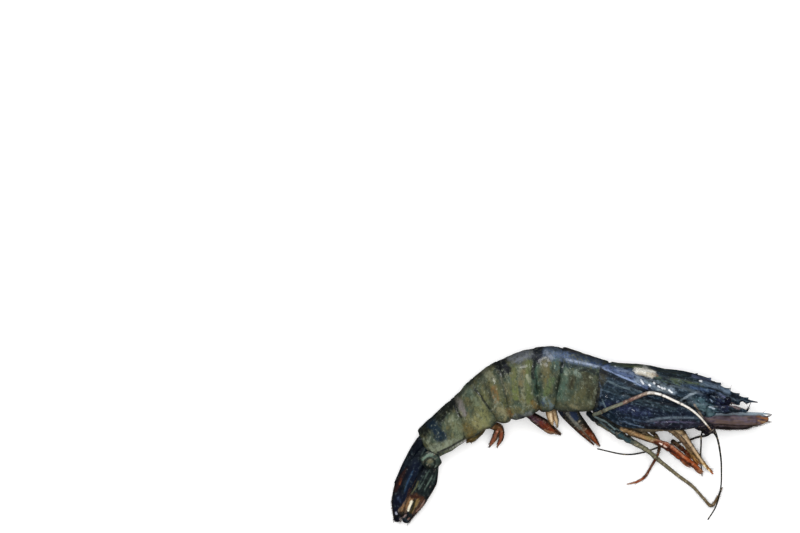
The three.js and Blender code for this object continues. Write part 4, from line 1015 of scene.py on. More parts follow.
def bristles(name, roots, aims, droops, lengths, thick):
    """Copies of the bristle at roots, aimed along aims and bent towards droops. All in mm."""
    aims, droops = unit(np.array(aims)), np.array(droops)
    side = unit(np.cross(aims, np.array([0.31, 0.22, 0.93])))
    lift = np.cross(side, aims)
    x, y, z = BRISTLE.T
    lengths = np.array(lengths)[:, None, None]
    thick = np.broadcast_to(thick, len(roots))[:, None, None]
    points = np.array(roots)[:, None, :] + aims[:, None, :] * z[:, None] * lengths
    points = points + (side[:, None, :] * x[:, None] + lift[:, None, :] * y[:, None]) * thick
    points = points + droops[:, None, :] * (z**2)[:, None] * lengths
    points = points.reshape(-1, 3)
    points[:, 2] = np.maximum(points[:, 2], TABLE_GAP)
    count = len(BRISTLE)
    faces = [tuple(i + n * count for i in f) for n in range(len(roots)) for f in BRISTLE_FACES]
    mesh = bpy.data.meshes.new(name)
    mesh.from_pydata((points * MM).tolist(), [], faces)
    layer = mesh.attributes.new("along", "FLOAT", "POINT")
    layer.data.foreach_set("value", np.tile(z, len(roots)).astype(np.float32))
    piece = bpy.data.objects.new(name, mesh)
    bpy.context.scene.collection.objects.link(piece)
    heal(piece, HAIR_SEAM)
    return piece


def comb(knots, start, end, count, length, seed, lean=0.8, sides=(-1, 1), thick=0.05):
    """Roots, aims, bends, lengths and breadths of bristles along the edges of a limb or blade,
    between two shares of its route. lean is how far they point forward."""
    draw = np.random.default_rng(seed)
    t = np.linspace(start, end, count) + draw.uniform(-0.5, 0.5, count) * (end - start) / count
    centre, side, lift, ahead, wide, deep = follow(knots, np.clip(t, 0, 1))
    edge = draw.choice(sides, count)
    high = draw.uniform(-OFF_EDGE, OFF_EDGE, count)
    roots = centre + side * (edge * wide * ROOT_AT)[:, None] + lift * (high * deep)[:, None]
    spread = draw.uniform(0.55, 1.2, count)
    leans = lean + draw.uniform(-0.2, 0.35, count)
    aims = side * (edge * spread)[:, None] + ahead * leans[:, None]
    aims += lift * (high * 1.2)[:, None]
    lengths = length * draw.uniform(0.5, 1.1, count)
    return roots, aims, ahead * BEND_AHEAD, lengths, np.full(count, thick)


def join(piece, *others):
    """Joins finished meshes into the first one, each keeping its own material."""
    only(piece, *others)
    bpy.ops.object.join()
    return piece


# %% [markdown]
# ## Blades
#
# The scales beside the feelers, the swimming legs and the tail fan are thin leaves with a stiff
# rib. A subdivided plane with thickness would do for a flat leaf. Here the blade is rolled along
# its route like a limb, but its section is a lens with sharp edges, arched a little, and the ribs
# are raised on it.


# %% Roll a blade
RIPPLE = 0.25  # mm by which a broad blade is uneven


def blade(name, knots, ribs, camber, strokes, columns=48, pitch=0.5):
    """A lens-shaped leaf along a route, arched by camber, a share of its half breadth. A rib is
    its place across, from -1 to 1, its height in mm and its breadth as a share."""
    t_of, mm_of = measured(knots)
    length = mm_of[-1]

    def place(u, v):
        at = crowded(u, length)
        t = np.interp(at, mm_of, t_of)
        centre, side, lift, _, wide, deep = follow(knots, t)
        cap = np.clip(np.minimum(at, length - at) / np.maximum(wide * 0.7, 0.3), 0, 1)
        round_end = rounded(cap)
        turn = v * 2 * math.pi
        across = np.cos(turn)
        over = np.sin(turn) * np.abs(np.sin(turn)) ** 0.5
        fade = ramp(at, 0, length * 0.12) * (1 - ramp(at, length * 0.85, length))
        ribbing = sum(high * bell(across, where, broad) for where, high, broad in ribs) * fade
        rise = over * deep * round_end + ribbing * np.sign(over) * round_end
        rise += camber * (1 - across**2) * wide
        points = centre + side * (across * wide * round_end)[:, None] + lift * rise[:, None]
        points += lift * (lumps(points, 5, 3) * RIPPLE * np.minimum(wide / 3, 1))[:, None]
        rib = np.clip(sum(bell(across, where, broad) for where, _, broad in ribs), 0, 1) * fade
        marks = {"along": at / length, "rib": rib, "edge": np.abs(across) ** 6}
        # The sides are marked for darkening: partly the leaf's own edges, partly painted shade.
        return points, {**marks, "side": np.abs(across) ** 3, **painted(points, strokes)}

    return roll(name, max(int(length / pitch), 12), columns, place)


FAR_DEPTH = 0.9  # a limb that is pressed on the table is this share as deep


def under(knots, move, lift, press, start=0):
    """The far side's limb: the same route, moved, and pressed down towards the table."""
    dx, dy = move
    return [(x + dx, y + dy, lift + z * press, w, d * FAR_DEPTH) for x, y, z, w, d in knots[start:]]


# %% [markdown]
# ## Legs and their finishes
#
# Five pairs of walking legs and one pair of jaw legs hang from the breast. The near ones are
# thrown forward in a bundle, one is folded up over the head shell, and the far ones lie below.
# Each row of a route is x, y, height, half breadth and half depth, and the joints are given as
# places between rows.

# %% Routes of the legs
LEGS = {  # name: (finish, joints, route)
    "jaw_leg_right": ("tan", (2, 3.2, 4.3, 5.2), [
        (47, 6, 16.5, 1.5, 1.5), (52, 3.4, 17.4, 1.4, 1.4), (56.5, 1, 16.4, 1.35, 1.3),
        (60.5, -5, 14, 1.15, 1.1), (65, -11.5, 11.5, 1, 1), (69, -17, 9.8, 0.85, 0.8),
        (74, -22, 8.4, 0.3, 0.3)]),
    "walking_leg_1_right": ("tan", (1, 2, 3), [
        (45, 6, 13, 1.4, 1.4), (52.2, 1.2, 12.8, 1.2, 1.2), (58.2, -4.4, 10.6, 1, 1),
        (62.2, -10.2, 8.4, 0.9, 0.9), (66.8, -16.6, 7, 0.3, 0.3)]),
    "walking_leg_2_right": ("rust", (1, 2.2, 3.1), [
        (30, 5, 11.6, 1.6, 1.6), (40.5, -3, 10, 1.5, 1.5), (48.5, -7.6, 8.4, 1.4, 1.3),
        (55, -12.8, 6.8, 1.2, 1.2), (61.4, -17.8, 5.4, 0.4, 0.4)]),
    "walking_leg_3_right": ("rust", (1.2, 4, 5.6), [
        (16, 9, 16, 1.7, 1.7), (24, 3.4, 16, 2, 1.7), (33, -0.6, 15, 1.7, 1.6),
        (42, -3.6, 13.6, 1.6, 1.5), (49, -6.2, 12, 1.5, 1.4), (57, -12, 9.8, 1.4, 1.3),
        (64, -17.2, 7.8, 1.2, 1.1), (68.5, -21, 6.4, 0.3, 0.3)]),
    "walking_leg_4_right": ("olive", (1.4, 4, 8.1), [
        (11, 9.6, 12.4, 1.8, 1.8), (21, 0.8, 11.6, 2.4, 1.8), (29, -4, 11, 1.6, 1.5),
        (36, -8, 10.4, 1.3, 1.2), (42, -13, 9.6, 1.2, 1.1), (54.5, -23, 6.6, 1, 1),
        (62.5, -29, 5, 0.9, 0.9), (68.5, -35.5, 3.6, 0.8, 0.8), (73.2, -40, 2.4, 0.9, 0.8),
        (76.4, -36, 1.9, 0.8, 0.7), (79.5, -29.5, 1.4, 0.25, 0.25)]),
    "walking_leg_5_left": ("olive", (1, 2.4), [
        (3, 13.2, 8, 1.6, 1.6), (8.4, 8.2, 7, 1.7, 1.6), (16.4, 3, 5.8, 1.6, 1.4),
        (26.4, -2.8, 4.2, 1.3, 1.1), (35.5, -7.5, 3.6, 0.4, 0.4)]),
    "walking_leg_4_left": ("rust", (1, 2.5, 5), [
        (36, 5, 8.6, 1.4, 1.4), (41, 0.4, 7.4, 1.2, 1.2), (43.8, -4.6, 5.4, 1, 1), (43, -11, 3.6, 0.8, 0.8),
        (39, -18.5, 2.2, 0.7, 0.7), (36, -23.5, 1.6, 0.8, 0.7), (32, -26.3, 1.3, 0.7, 0.6),
        (25.5, -28, 1, 0.25, 0.25)]),
}
HIDDEN_LEGS = {  # name: (which leg it lies under, first row, move, lift, press)
    "walking_leg_3_left": ("walking_leg_3_right", 4, (-0.5, -0.6), 0.6, 0.2),
    "walking_leg_2_left": ("walking_leg_2_right", 2, (2, 4.6), 1.6, 0.3),
    "walking_leg_1_left": ("walking_leg_1_right", 0, (-1, 0.4), 2.4, 0.3),
    "jaw_leg_left": ("jaw_leg_right", 1, (0, 1), 0.8, 0.2),
}
for name, (over, first, move, lift, press) in HIDDEN_LEGS.items():
    finish, joints, route = LEGS[over]
    kept = tuple(j - first for j in joints if j > first + 0.4)
    LEGS[name] = (finish, kept, under(route, move, lift, press, first))
print("legs:", len(LEGS) + 1)

# %% The folded leg rests on the head shell
FOLDED = [(5.5, 11.6), (9, 12.6), (14, 15), (22, 18.2), (30.5, 21.8), (36.5, 24), (42.5, 23.4),
          (50.5, 20), (59.5, 15.4), (65, 11), (68.5, 7.2), (71.8, 3.2)]
FOLDED_HALF = [(0, 1.1), (5, 1.05), (6, 0.8), (9, 0.66), (11, 0.45)]  # row, half breadth
LOWEST_REST, AIR = 21.1, 0.35  # mm: the leg never sinks below this, and just clears the shell
SKY = 100  # mm, well above the shell
shell_below = BVHTree.FromObject(head_shell, bpy.context.evaluated_depsgraph_get())
folded_route = []
for i, (x, y) in enumerate(FOLDED):
    spot, *_ = shell_below.ray_cast(Vector((x, y, SKY)) * MM, Vector((0, 0, -1)))
    half = np.interp(i, *np.array(FOLDED_HALF).T)
    floor = max(spot.z / MM if spot else 0, LOWEST_REST)
    folded_route.append((x, y, floor + half + AIR, half, half))
LEGS["walking_leg_5_right"] = ("folded", (1.5, 3.4, 6.2, 7.4, 10.8), folded_route)
print("the folded leg's highest point, mm:", round(max(r[2] for r in folded_route), 1))

# %% Finishes of the limbs
LEG_PAINT = {
    "root_dark": ([(6, 12), (14, 8), (21, 4.4)], 3.2, "10181d", 0.95, 0.3),
    "root_line": ([(6.8, 10.8), (12.4, 8.5), (17.5, 4.1), (22.5, 2.4)], 0.4, "7f9496", 0.9, 0.6),
    "root_line_2": ([(8.5, 9.7), (13.6, 4.6), (18, 1.3)], 0.4, "5e7074", 0.9, 0.6),
    "root_line_3": ([(12.4, 11.4), (18, 8.6), (24, 6.3)], 0.35, "4b5c66", 0.9, 0.6),
    "root_teal": ([(21.4, 0.2), (26.6, -3.6)], 0.9, "2f4f58", 0.85, 0.7),
    "leg_tan": ([(22, 3.4), (30, 0.6), (37, -1.8)], 0.9, "b08c60", 0.85, 0.8),
    "leg_tan_line": ([(24, 2.2), (31, -0.8), (37, -3.4)], 0.4, "2e2216", 0.85, 0.6),
    "leg_olive": ([(36, -1), (41.5, -1.8)], 0.9, "9a8f5e", 0.8, 0.7),
    # Painted highlight: pink lines along the rust leg.
    "leg_pink": ([(41, -1.8), (48.3, -4.3), (52.8, -7.7)], 0.5, "b98672", 0.85, 0.8),
    "leg_dark": ([(41, -3.8), (46, -6.6), (52.2, -9.9)], 0.7, "3f130e", 0.9, 0.5),
    "leg_dark_2": ([(50.5, -3.2), (56.1, -7.7), (60.6, -12.7)], 0.6, "36150c", 0.9, 0.5),
    "leg_pale": ([(50, -6.6), (55, -10), (59, -13.4)], 0.4, "b07a5a", 0.8, 0.8),
    "leg_flame": ([(58.3, -12.4), (62.8, -16.2), (65.6, -18.9)], 0.65, "a04a1c", 0.7, 1),
    "leg_dusk": ([(57.2, -13.9), (61.7, -18), (64, -20)], 0.45, "561c08", 0.9, 0.4),
    "leg_glint": ([(43.8, -4.6), (44.9, -5.2)], 0.4, "f0ddd2", 1, 0.2),
    "leg_glint_2": ([(46, -6), (47.4, -6.8)], 0.35, "e6c9ba", 1, 0.2),
    "tan_pale": ([(54, 1.4), (60.4, -4.4), (65, -11), (68, -15.4)], 0.45, "cdb594", 0.85, 0.8),
    "tan_dark": ([(53, 0.4), (59.4, -6.6), (64.4, -13)], 0.4, "34251a", 0.85, 0.6),
    "tan_glint": ([(68.4, -17.2), (69.4, -18.6)], 0.5, "fff3cf", 1, 0.1),
    "tan_glint_2": ([(71.3, -19.6), (71.9, -20.6)], 0.4, "fbe2ae", 1, 0.1),
    "tan_tip": ([(72.4, -20.8), (73.8, -22)], 0.6, "a8501c", 0.9, 0.3),
    # Painted highlight along the folded leg's first stretch.
    "fold_highlight": ([(6.8, 12.7), (14.7, 16.2), (21.4, 18.8)], 0.35, "a5b0a2", 0.85, 0.7),
    "far_leg": ([(41.4, -15.4), (38.6, -19.4), (35.4, -24)], 0.8, "472a1d", 0.85, 0.6),
    "far_leg_top": ([(43.8, -6.6), (43.3, -9.6)], 0.8, "3d231a", 0.85, 0.5),
}
TAN = {0: "5a4c36", 0.25: "9c8462", 0.5: "a28466", 0.8: "b08c52", 1: "9c5a24"}
RUST = {0: "2f3329", 0.2: "5e4c34", 0.36: "7a5a3c", 0.5: "70331b", 0.8: "873813", 1: "93603c"}
OLIVE = {0: "1b262a", 0.14: "2a3c41", 0.22: "2b3b3d", 0.3: "6c6a55", 0.7: "6a6048", 1: "5e4427"}
# The folded leg: grey-green, brownish at the elbow, then a long painted highlight that turns its middle
# stretch nearly white, and a brown tip.
PALE_WITH_HIGHLIGHT = {0: "4e5749", 0.24: "6d7163", 0.3: "6f4f4a", 0.38: "77605a", 0.44: "8f8274", 0.485: "f4f1ec",
        0.93: "f1ece3", 0.99: "94795f"}
FINISHES = {
    "tan": limb_skin("wet_tan_limb", TAN, "2c1d14", strokes=LEG_PAINT),
    "rust": limb_skin("wet_rust_limb", RUST, "2a150d", strokes=LEG_PAINT),
    "olive": limb_skin("wet_olive_limb", OLIVE, "33261c", strokes=LEG_PAINT),
    "folded": limb_skin("wet_pale_limb_highlit", PALE_WITH_HIGHLIGHT, "3c2a20", "4a3d33"),
    "dark": limb_skin("wet_black_whip", {0: "15181b", 1: "1d1c18"}, "0c0a08", "0a0a0a"),
    "hair": limb_skin("brown_bristle", {0: "3c281b", 1: "5a4630"}, "3c281b"),
}
print("finishes:", sorted(FINISHES))


# %% Dress a node
def dress(piece, slot, *nodes):
    """A finished piece rides on the body and stands for its solids."""
    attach(piece, "root")
    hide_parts(*nodes)
    return piece


def paint(piece, material):
    """Gives a piece one material."""
    piece.data.materials.clear()
    piece.data.materials.append(material)
    return piece


def fringe(name, *values, **more):
    """A comb of brown bristles, made and painted."""
    return paint(bristles(name, *comb(*values, **more)), FINISHES["hair"])


SLOTS = {"tan": "tan_limb", "rust": "rust_limb", "olive": "olive_limb", "folded": "olive_limb"}


def node_of(name):
    """The name of the solid that a leg stands for."""
    return name.replace("jaw_leg", "maxilliped").replace("walking_leg", "leg")


# %% Roll the legs, with claws on the first three pairs
CLAWED = "walking_leg_1", "walking_leg_2", "walking_leg_3"
FINGER = [  # share of the way from wrist to tip, mm aside, half breadth
    (0.1, 0.3, 0.7), (0.45, 0.95, 0.6), (0.8, 1.0, 0.4), (1.06, 0.55, 0.12),
]
HAIRS_PER_MM, SPARSE = 2.2, 0.35  # the folded leg is nearly bare
JAW_HAIR, LEG_HAIR = 2.6, 1.5  # mm


def finger_beside(route):
    """The route of a claw's second finger, beside the last stretch of its leg."""
    wrist, tip = np.array(route[-2]), np.array(route[-1])
    aside = np.array([tip[1] - wrist[1], wrist[0] - tip[0]]) / math.hypot(*(tip - wrist)[:2])
    finger = []
    for share, out, half in FINGER:
        x, y, z = (wrist + (tip - wrist) * share)[:3]
        finger.append((x + aside[0] * out, y + aside[1] * out, z, half, half * 0.9))
    return finger


for seed, (name, (finish, joints, route)) in enumerate(LEGS.items()):
    leg = paint(limb(name, route, joints, strokes=LEG_PAINT), FINISHES[finish])
    extras = []
    if name.startswith(CLAWED):
        claw = limb(name + "_finger", finger_beside(route), pitch=0.3, columns=10, begin=0.85)
        extras.append(paint(claw, FINISHES[finish]))
    count = int(measured(route)[1][-1] * HAIRS_PER_MM * (SPARSE if finish == "folded" else 1))
    length = JAW_HAIR if name.startswith("jaw") else LEG_HAIR
    extras.append(fringe(name + "_hair", route, 0.2, 0.99, count, length, seed))
    dress(join(leg, *extras), SLOTS[finish], node_of(name))
print("legs dressed:", len(LEGS))

# %% [markdown]
# ## Dress the shells
#
# Two finishes cover all the big shells. The head shell and the beak share one, because they are
# one shell on the animal. Each piece rides on the body of the model and replaces its plain solid.

# %% Paint and dress the shells
head_paint, ring_paint = head_skin(), ring_skin()
for piece in (head_shell, beak):
    dress(paint(piece, head_paint), "navy_shell", "carapace")
for number, ring in enumerate(rings, 1):
    dress(paint(ring, ring_paint), "olive_shell", f"tail_segment_{number}")
print("shells dressed:", 2 + len(rings))

# %% [markdown]
# ## Breast and face
#
# Between the lower edges of the head shell lies the breast, a row of paired lumps where the legs
# start. In front of it the face closes the mouth of the shell. Both are mostly hidden, but they
# show from below and from the front, so they are rolled like thick limbs and given lumps.

# %% Roll the breast and the face
BREAST = [(6.5, 13, 12.6, 3, 4), (12, 11.8, 12.8, 3.8, 4.8), (18, 10, 13, 4.6, 5.6),
          (30, 7.2, 13.2, 4.8, 6.2), (46, 6.9, 13.2, 5, 5.8), (60, 8.6, 13.4, 4, 4.6),
          (68, 10, 13.6, 2.4, 3)]
FACE = [(64, 17, 13.6, 8.6, 7.4), (71, 17.2, 13.6, 8.4, 7), (76.5, 17.4, 13.6, 6.4, 5.4),
        (80.5, 17.6, 13.6, 3.4, 3.2)]


def lumpy(name, knots, size, height, seed, strokes):
    """A thick limb whose skin is pushed in and out by height, in lumps of this size, in mm."""
    piece = limb(name, knots, columns=56, pitch=0.5, uneven=0, strokes=strokes)
    points = np.array([tuple(p.co) for p in piece.data.vertices]) / MM
    normals = np.array([tuple(p.normal) for p in piece.data.vertices])
    points += normals * (lumps(points, size, seed) * height)[:, None]
    piece.data.vertices.foreach_set("co", (points * MM).ravel())
    return piece


FLESH = {0: "4d4a3e", 0.5: "6d6453", 1: "594b39"}
flesh_paint = limb_skin("pale_breast_flesh", FLESH, "3e3a30", strokes=LEG_PAINT)
dress(paint(lumpy("breast", BREAST, 4, 1.1, 3, LEG_PAINT), flesh_paint), "navy_shell", "underbody")
dress(paint(lumpy("face", FACE, 3, 0.8, 7, HEAD_PAINT), head_paint), "navy_shell", "head_core")
print("breast and face rolled")

# %% [markdown]
# ## Eyes
#
# A prawn's eye is a black, wet ball in a cup on a short stalk. The ball starts as a UV sphere at
# its place. Its rear is drawn in and flattened by hand so that it sits in the cup, and the stalk
# is a short limb that starts inside the face.

# %% Model the eyes
eye_bench = Bench("wet_black_eye")
eye_cloud = eye_bench.noise(0.5, 2)
eye_colour = eye_bench.mix(eye_cloud.ramp(0.4, 0.7), tone("0a0a14"), tone("1c1d35"))
eye_paint = eye_bench.finish(eye_colour, 0.1 + eye_cloud * 0.1, None, fixed=WET)
EYE_BASE, EYE_BULB = (70, 21.6), (81.2, 19.3)  # x, y of the stalk's root and of the ball
BASE_APART, BULB_APART = 4, 6.6  # mm that they lie to the side of the beak's middle
EYE_RADIUS, CUP_RADIUS = 3, 2.75
REAR_FROM, REAR_SQUEEZE = -1.2, (0.75, 0.86, 0.86)  # what lies behind this x of the ball is drawn in
for side, sign in (("right", 1), ("left", -1)):
    height = BEAK_MIDDLE + sign * BULB_APART
    place = Vector((*EYE_BULB, height)) * MM
    only()
    bpy.ops.mesh.primitive_uv_sphere_add(
        segments=40, ring_count=24, radius=EYE_RADIUS * MM, location=place)
    ball = bpy.context.object
    for point in ball.data.vertices:
        point.select = point.co.x < REAR_FROM * MM
    bpy.ops.object.mode_set(mode="EDIT")
    bpy.ops.mesh.select_mode(type="VERT")
    bpy.ops.transform.resize(value=REAR_SQUEEZE)
    bpy.ops.object.mode_set(mode="OBJECT")
    bpy.ops.object.transform_apply(location=True)
    bpy.ops.object.shade_smooth()
    root = (*EYE_BASE, BEAK_MIDDLE + sign * BASE_APART, 2, 2)
    cup = (EYE_BULB[0] - 0.4, EYE_BULB[1], height, CUP_RADIUS, CUP_RADIUS)
    middle = (75.4, 20.9, (root[2] + height) / 2, 1.7, 1.7)
    stalk = limb(f"stalk_{side}", [root, middle, cup], columns=28, pitch=0.3, strokes=HEAD_PAINT)
    ball.name = ball.data.name = f"eye_ball_{side}"
    dress(join(paint(ball, eye_paint), paint(stalk, head_paint)), "eye", f"eye_{side}")
print("eyes at height, mm:", BEAK_MIDDLE - BULB_APART, BEAK_MIDDLE + BULB_APART)

# %% [markdown]
# ## Scales and feelers
#
# Beside each feeler a prawn carries a broad scale with a stiff outer rib that ends in a spine. The
# long feelers grow from thick roots, and the whips are thin and springy. They lie as the plain
# solids do, so the routes are the same.


# %% Finish of the scales
SCALE_PAINT = {
    "scale_rib": ([(70, 12.4), (86, 12.9), (102, 12.5)], 1.4, "8698a3", 0.97, 0.3),
    "scale_light": ([(73, 12.4), (84, 13), (90, 12.8)], 0.35, "a9b7c8", 0.9, 0.6),
    "scale_shade": ([(74, 11), (88, 11.1), (100, 10.9)], 0.3, "1f1a20", 0.9, 0.4),
    "scale_brown": ([(75, 8), (86, 6.6), (98, 6)], 1.0, "5a4738", 0.85, 0.8),
    "scale_orange": ([(98.6, 9.6), (101, 8), (104, 8.4)], 1.6, "70492b", 0.9, 1),
    "scale_low": ([(76, 6.2), (88, 5.2), (98, 5.6)], 0.4, "271b1c", 0.9, 0.4),
    "scale_far": ([(76, 3.9), (89, 3.3), (96, 3.8)], 1.0, "1a1413", 0.95, 0.3),
    "scale_spine_tip": ([(104.8, 12), (107, 11.8)], 0.7, "0e1114", 0.95, 0.1),
    "scale_ochre": ([(98.4, 8.4), (102.6, 7.2)], 0.4, "a3835a", 0.85, 0.9),
    "scale_band": ([(97.4, 10.4), (97.6, 6.4)], 0.35, "3a2318", 0.85, 0.6),
    "scale_ochre_2": ([(100.4, 10), (104.4, 9.2)], 0.35, "8c5a30", 0.85, 0.9),
}


def scale_skin():
    b = Bench("lilac_scale", (4, 0.8, 1))
    cloud, streak = b.noise(3, 3, seed=1.0), b.noise(1.2, 3, 0.6, (6, 0.8, 1), 4.0)
    colour = b.mix(cloud.ramp(0.1, 0.9), tone("43383d"), tone("5a4f5a"))
    colour = b.coats(
        colour, (streak.ramp(0.5, 0.95) * 0.6, "6b5744"), (streak.ramp(0.5, 0.1) * 0.5, "2a2229"))
    colour = b.strokes(colour, SCALE_PAINT)
    colour = b.coats(colour, (b.mark("edge") * 0.5, "1d1719"))
    return b.finish(colour, 0.3 + cloud * 0.2, wet_bump(b, 2, 0.5), 0.4, 0.09, WET)


# %% Roll the scales
SCALE = [(67, 9, 16, 1.6, 0.8), (74, 9.6, 16.5, 3.4, 0.8), (88, 9.2, 17, 3.9, 0.7), (99, 9, 16.8, 3.4, 0.6),
         (104.5, 9.3, 16.4, 1.2, 0.4)]
SPINE = [(70, 12.6, 16.8, 0.8, 0.7), (82, 12.5, 17, 0.7, 0.6), (98, 12.3, 17, 0.65, 0.55),
         (103, 12.1, 17, 0.45, 0.4), (106.4, 11.8, 16.8, 0.15, 0.15)]
FAR_SCALE = (-6.5, -2.4), 5.4, 0.25
scale_paint = scale_skin()
for side, route, spine_route in (("right", SCALE, SPINE),
                                 ("left", under(SCALE, *FAR_SCALE), under(SPINE, *FAR_SCALE))):
    leaf = paint(blade(f"feeler_scale_{side}", route, [(0.55, 0.35, 0.16)], 0.12, SCALE_PAINT), scale_paint)
    lower = fringe(f"scale_hair_{side}", route, 0.25, 0.99, 130, 2.4, 11, 1.6, (-1,))
    tip = fringe(f"scale_tip_{side}", route, 0.93, 1.0, 40, 2.2, 12, 2.4)
    spine = limb(f"scale_spine_{side}", spine_route, columns=16, pitch=0.3, strokes=SCALE_PAINT)
    piece = join(leaf, lower, tip, paint(spine, scale_paint))
    dress(piece, "lilac_blade", f"antennal_scale_{side}")
print("scales rolled")

# %% Roll the short feelers
SHORT_FEELER = [(68, 16, 18, 2.2, 1.8), (77, 14.8, 20.4, 2.5, 1.8), (84, 14.8, 20.2, 2.1, 1.6),
                (89, 14.2, 19.6, 1.2, 1.1), (92, 13.8, 19, 0.5, 0.5), (93.2, 16, 18.8, 0.24, 0.24),
                (94.4, 18.6, 18.4, 0.16, 0.16)]
LEFT_SHORT_WHIP = [(87, 13.2, 11.6, 0.8, 0.8), (84, 10.2, 11.8, 0.6, 0.6), (77, 7.6, 12, 0.55, 0.55),
                   (70, 6.2, 11.4, 0.55, 0.55), (67.4, 1, 10, 0.5, 0.5), (67.1, -6, 7.4, 0.48, 0.48),
                   (67, -13, 5, 0.45, 0.45), (68, -23.5, 2.6, 0.3, 0.3)]
BANDED = {0: "28343f", 0.35: "3b3a3e", 0.6: "5f4a40", 0.85: "2a2724"}
feeler_paint = limb_skin("banded_feeler", BANDED, "15131a", "17161c")
near = limb("short_feeler_right", SHORT_FEELER, (1.1, 2, 2.9), 0.05, 0.12, 24, 0.3, strokes=HEAD_PAINT)
near_hair = fringe("short_feeler_hair", SHORT_FEELER, 0.25, 0.8, 70, 1.6, 21, 1.2)
dress(join(paint(near, head_paint), near_hair), "navy_shell", "antennule_right")
far_route = under(SHORT_FEELER[:4], (-1.5, -1), 3, 0.45)
far = paint(limb("short_feeler_left", far_route, (1.1, 2), 0.12, 0.28, 20, 0.35), feeler_paint)
whip = paint(limb("left_short_whip", LEFT_SHORT_WHIP, columns=10), FINISHES["dark"])
dress(join(far, whip), "navy_shell", "antennule_left")

# %% A few long stray hairs
STRAY = [  # root, aim, length
    [(82.4, 25.6, BEAK_MIDDLE), (2.6, 4.2, 0.6), 5], [(101, 12.6, 17), (2.4, 2.2, 0.8), 3.4],
    [(78, 28, BEAK_MIDDLE), (2, 2.6, 1), 2.2], [(8.6, 17, 24.4), (-2.2, 4.6, 0), 5],
]
STRAY_THICK = 0.11
roots, aims, lengths = zip(*STRAY)
straight = np.zeros((len(STRAY), 3))
stray = bristles("stray_hairs", roots, np.array(aims, float), straight, lengths, STRAY_THICK)
dress(paint(stray, FINISHES["dark"]), "navy_shell", "antennule_right")

# %% Roll the long feelers
FEELER_ROOT = [(64, 7.6, 18.4, 2.2, 1.8), (70, 5, 19.6, 2.7, 1.9), (74, 2, 17.4, 2.2, 1.8)]
RIGHT_WHIP = [(73.4, 3, 17.4, 1.2, 1), (75.6, -1.2, 15.4, 0.6, 0.6), (78, -12.5, 10.5, 0.5, 0.5),
              (78.5, -21, 7.8, 0.45, 0.45), (78.2, -30, 5.8, 0.42, 0.42), (75.5, -40.5, 4, 0.4, 0.4),
              (71.2, -48, 0.7, 0.35, 0.35)]
LEFT_WHIP = [(72.6, 1.6, 6.7, 1, 0.9), (70, -0.4, 5.2, 0.7, 0.7), (66, -1.2, 3, 0.6, 0.6),
             (60, -3.3, 1, 0.55, 0.55), (44, -7, 0.7, 0.5, 0.5), (36, -9.8, 0.7, 0.45, 0.45),
             (25.5, -11.2, 0.7, 0.42, 0.42), (9, -8, 0.6, 0.35, 0.35)]
PURPLE = {0: "2e2937", 0.5: "2c2734", 1: "1f1c26"}
root_paint = limb_skin("purple_feeler_root", PURPLE, "100e15", "14121a")
for side, base, whip in (("right", FEELER_ROOT, RIGHT_WHIP),
                         ("left", under(FEELER_ROOT, (-1.5, -1), -0.3, 0.36), LEFT_WHIP)):
    root = paint(limb(f"long_feeler_{side}", base, (1,), 0.08, 0.2, 24, 0.35), root_paint)
    whip = paint(limb(f"long_whip_{side}", whip, columns=10), FINISHES["dark"])
    dress(join(root, whip), "dark_limb", f"antenna_{side}")
print("feelers rolled")

# %% [markdown]
# ## Swimming legs
#
# Under each of the first five rings hangs a pair of swimming legs. Each one is split into two
# fringed leaves, and the near leg lies over the far one. The routes of the leaves are those of the
# plain solids, and one function hangs the leaves of both legs of a pair.

# %% Routes of the swimming legs
SWIMMERS = [  # long and short leaf as rows of x, y, half breadth; moves of the far leg; how far it hangs
    ([(-7, 16, 3.4), (-4.6, 11.4, 3.8), (1.2, 4.8, 2.5), (6.4, -1.2, 1.7), (10.5, -6.6, 0.4)],
     [(-9.6, 14, 1.7), (-7, 9.8, 1.8), (0, 1.6, 1.1), (7.2, -5.8, 0.3)], (-2.8, 0.8, -0.8, 0.6), 1),
    ([(-19, 16, 1.8), (-18, 11.6, 2.1), (-17, 8, 1.6), (-16.2, 5.4, 0.3)],
     [(-16, 15, 1.4), (-15.2, 11, 1.4), (-13.9, 7, 0.9), (-13.6, 4, 0.3)], (0.4, 0.8, 0.2, 1.4), 0.4),
    ([(-34, 14.8, 2), (-27.4, 10.2, 2.2), (-20.8, 6, 2.5), (-16.4, 2.8, 1.7), (-11.4, -0.2, 0.3)],
     [(-28.6, 9.8, 1.5), (-22.4, 5, 1.5), (-18, 1.9, 1.3), (-15.6, 0.6, 0.3)], (0.2, 0.4, 0.3, 0.6), 1),
    ([(-55.6, 8, 1.5), (-50.6, 5.2, 1.8), (-46, 3, 1.9), (-45, -1.6, 1.5), (-47.5, -7.2, 0.3)],
     [(-47, 3, 1.5), (-48.6, -1.8, 1.5), (-52, -7.3, 0.3)], (-0.2, 0.8, 0.4, 1.6), 1),
    ([(-55, 7, 2.4), (-58.6, 1.6, 2.7), (-62, -2, 2), (-64.6, -4.4, 0.4)],
     [(-57.6, 2, 1.8), (-60.4, -2, 1.4), (-62, -4.6, 0.3)], (1.2, 0.4, 1.4, 0.6), 0.7),
]
SWIM_TONES = [
    {0: "1b2228", 0.35: "2c302c", 0.5: "3a2a1e", 0.62: "5f2f18", 0.9: "703a1c", 1: "4a2c1c"},
    {0: "7d694b", 0.4: "c2a680", 1: "ae8f6a"},
    {0: "241517", 0.3: "3b1f22", 0.55: "4a2320", 0.75: "6f3417", 1: "6a4a34"},
    {0: "4a3a22", 0.35: "6a4a2c", 0.6: "7a4426", 1: "5e4434"},
    {0: "413a22", 0.5: "5e5229", 1: "5e4522"},
]
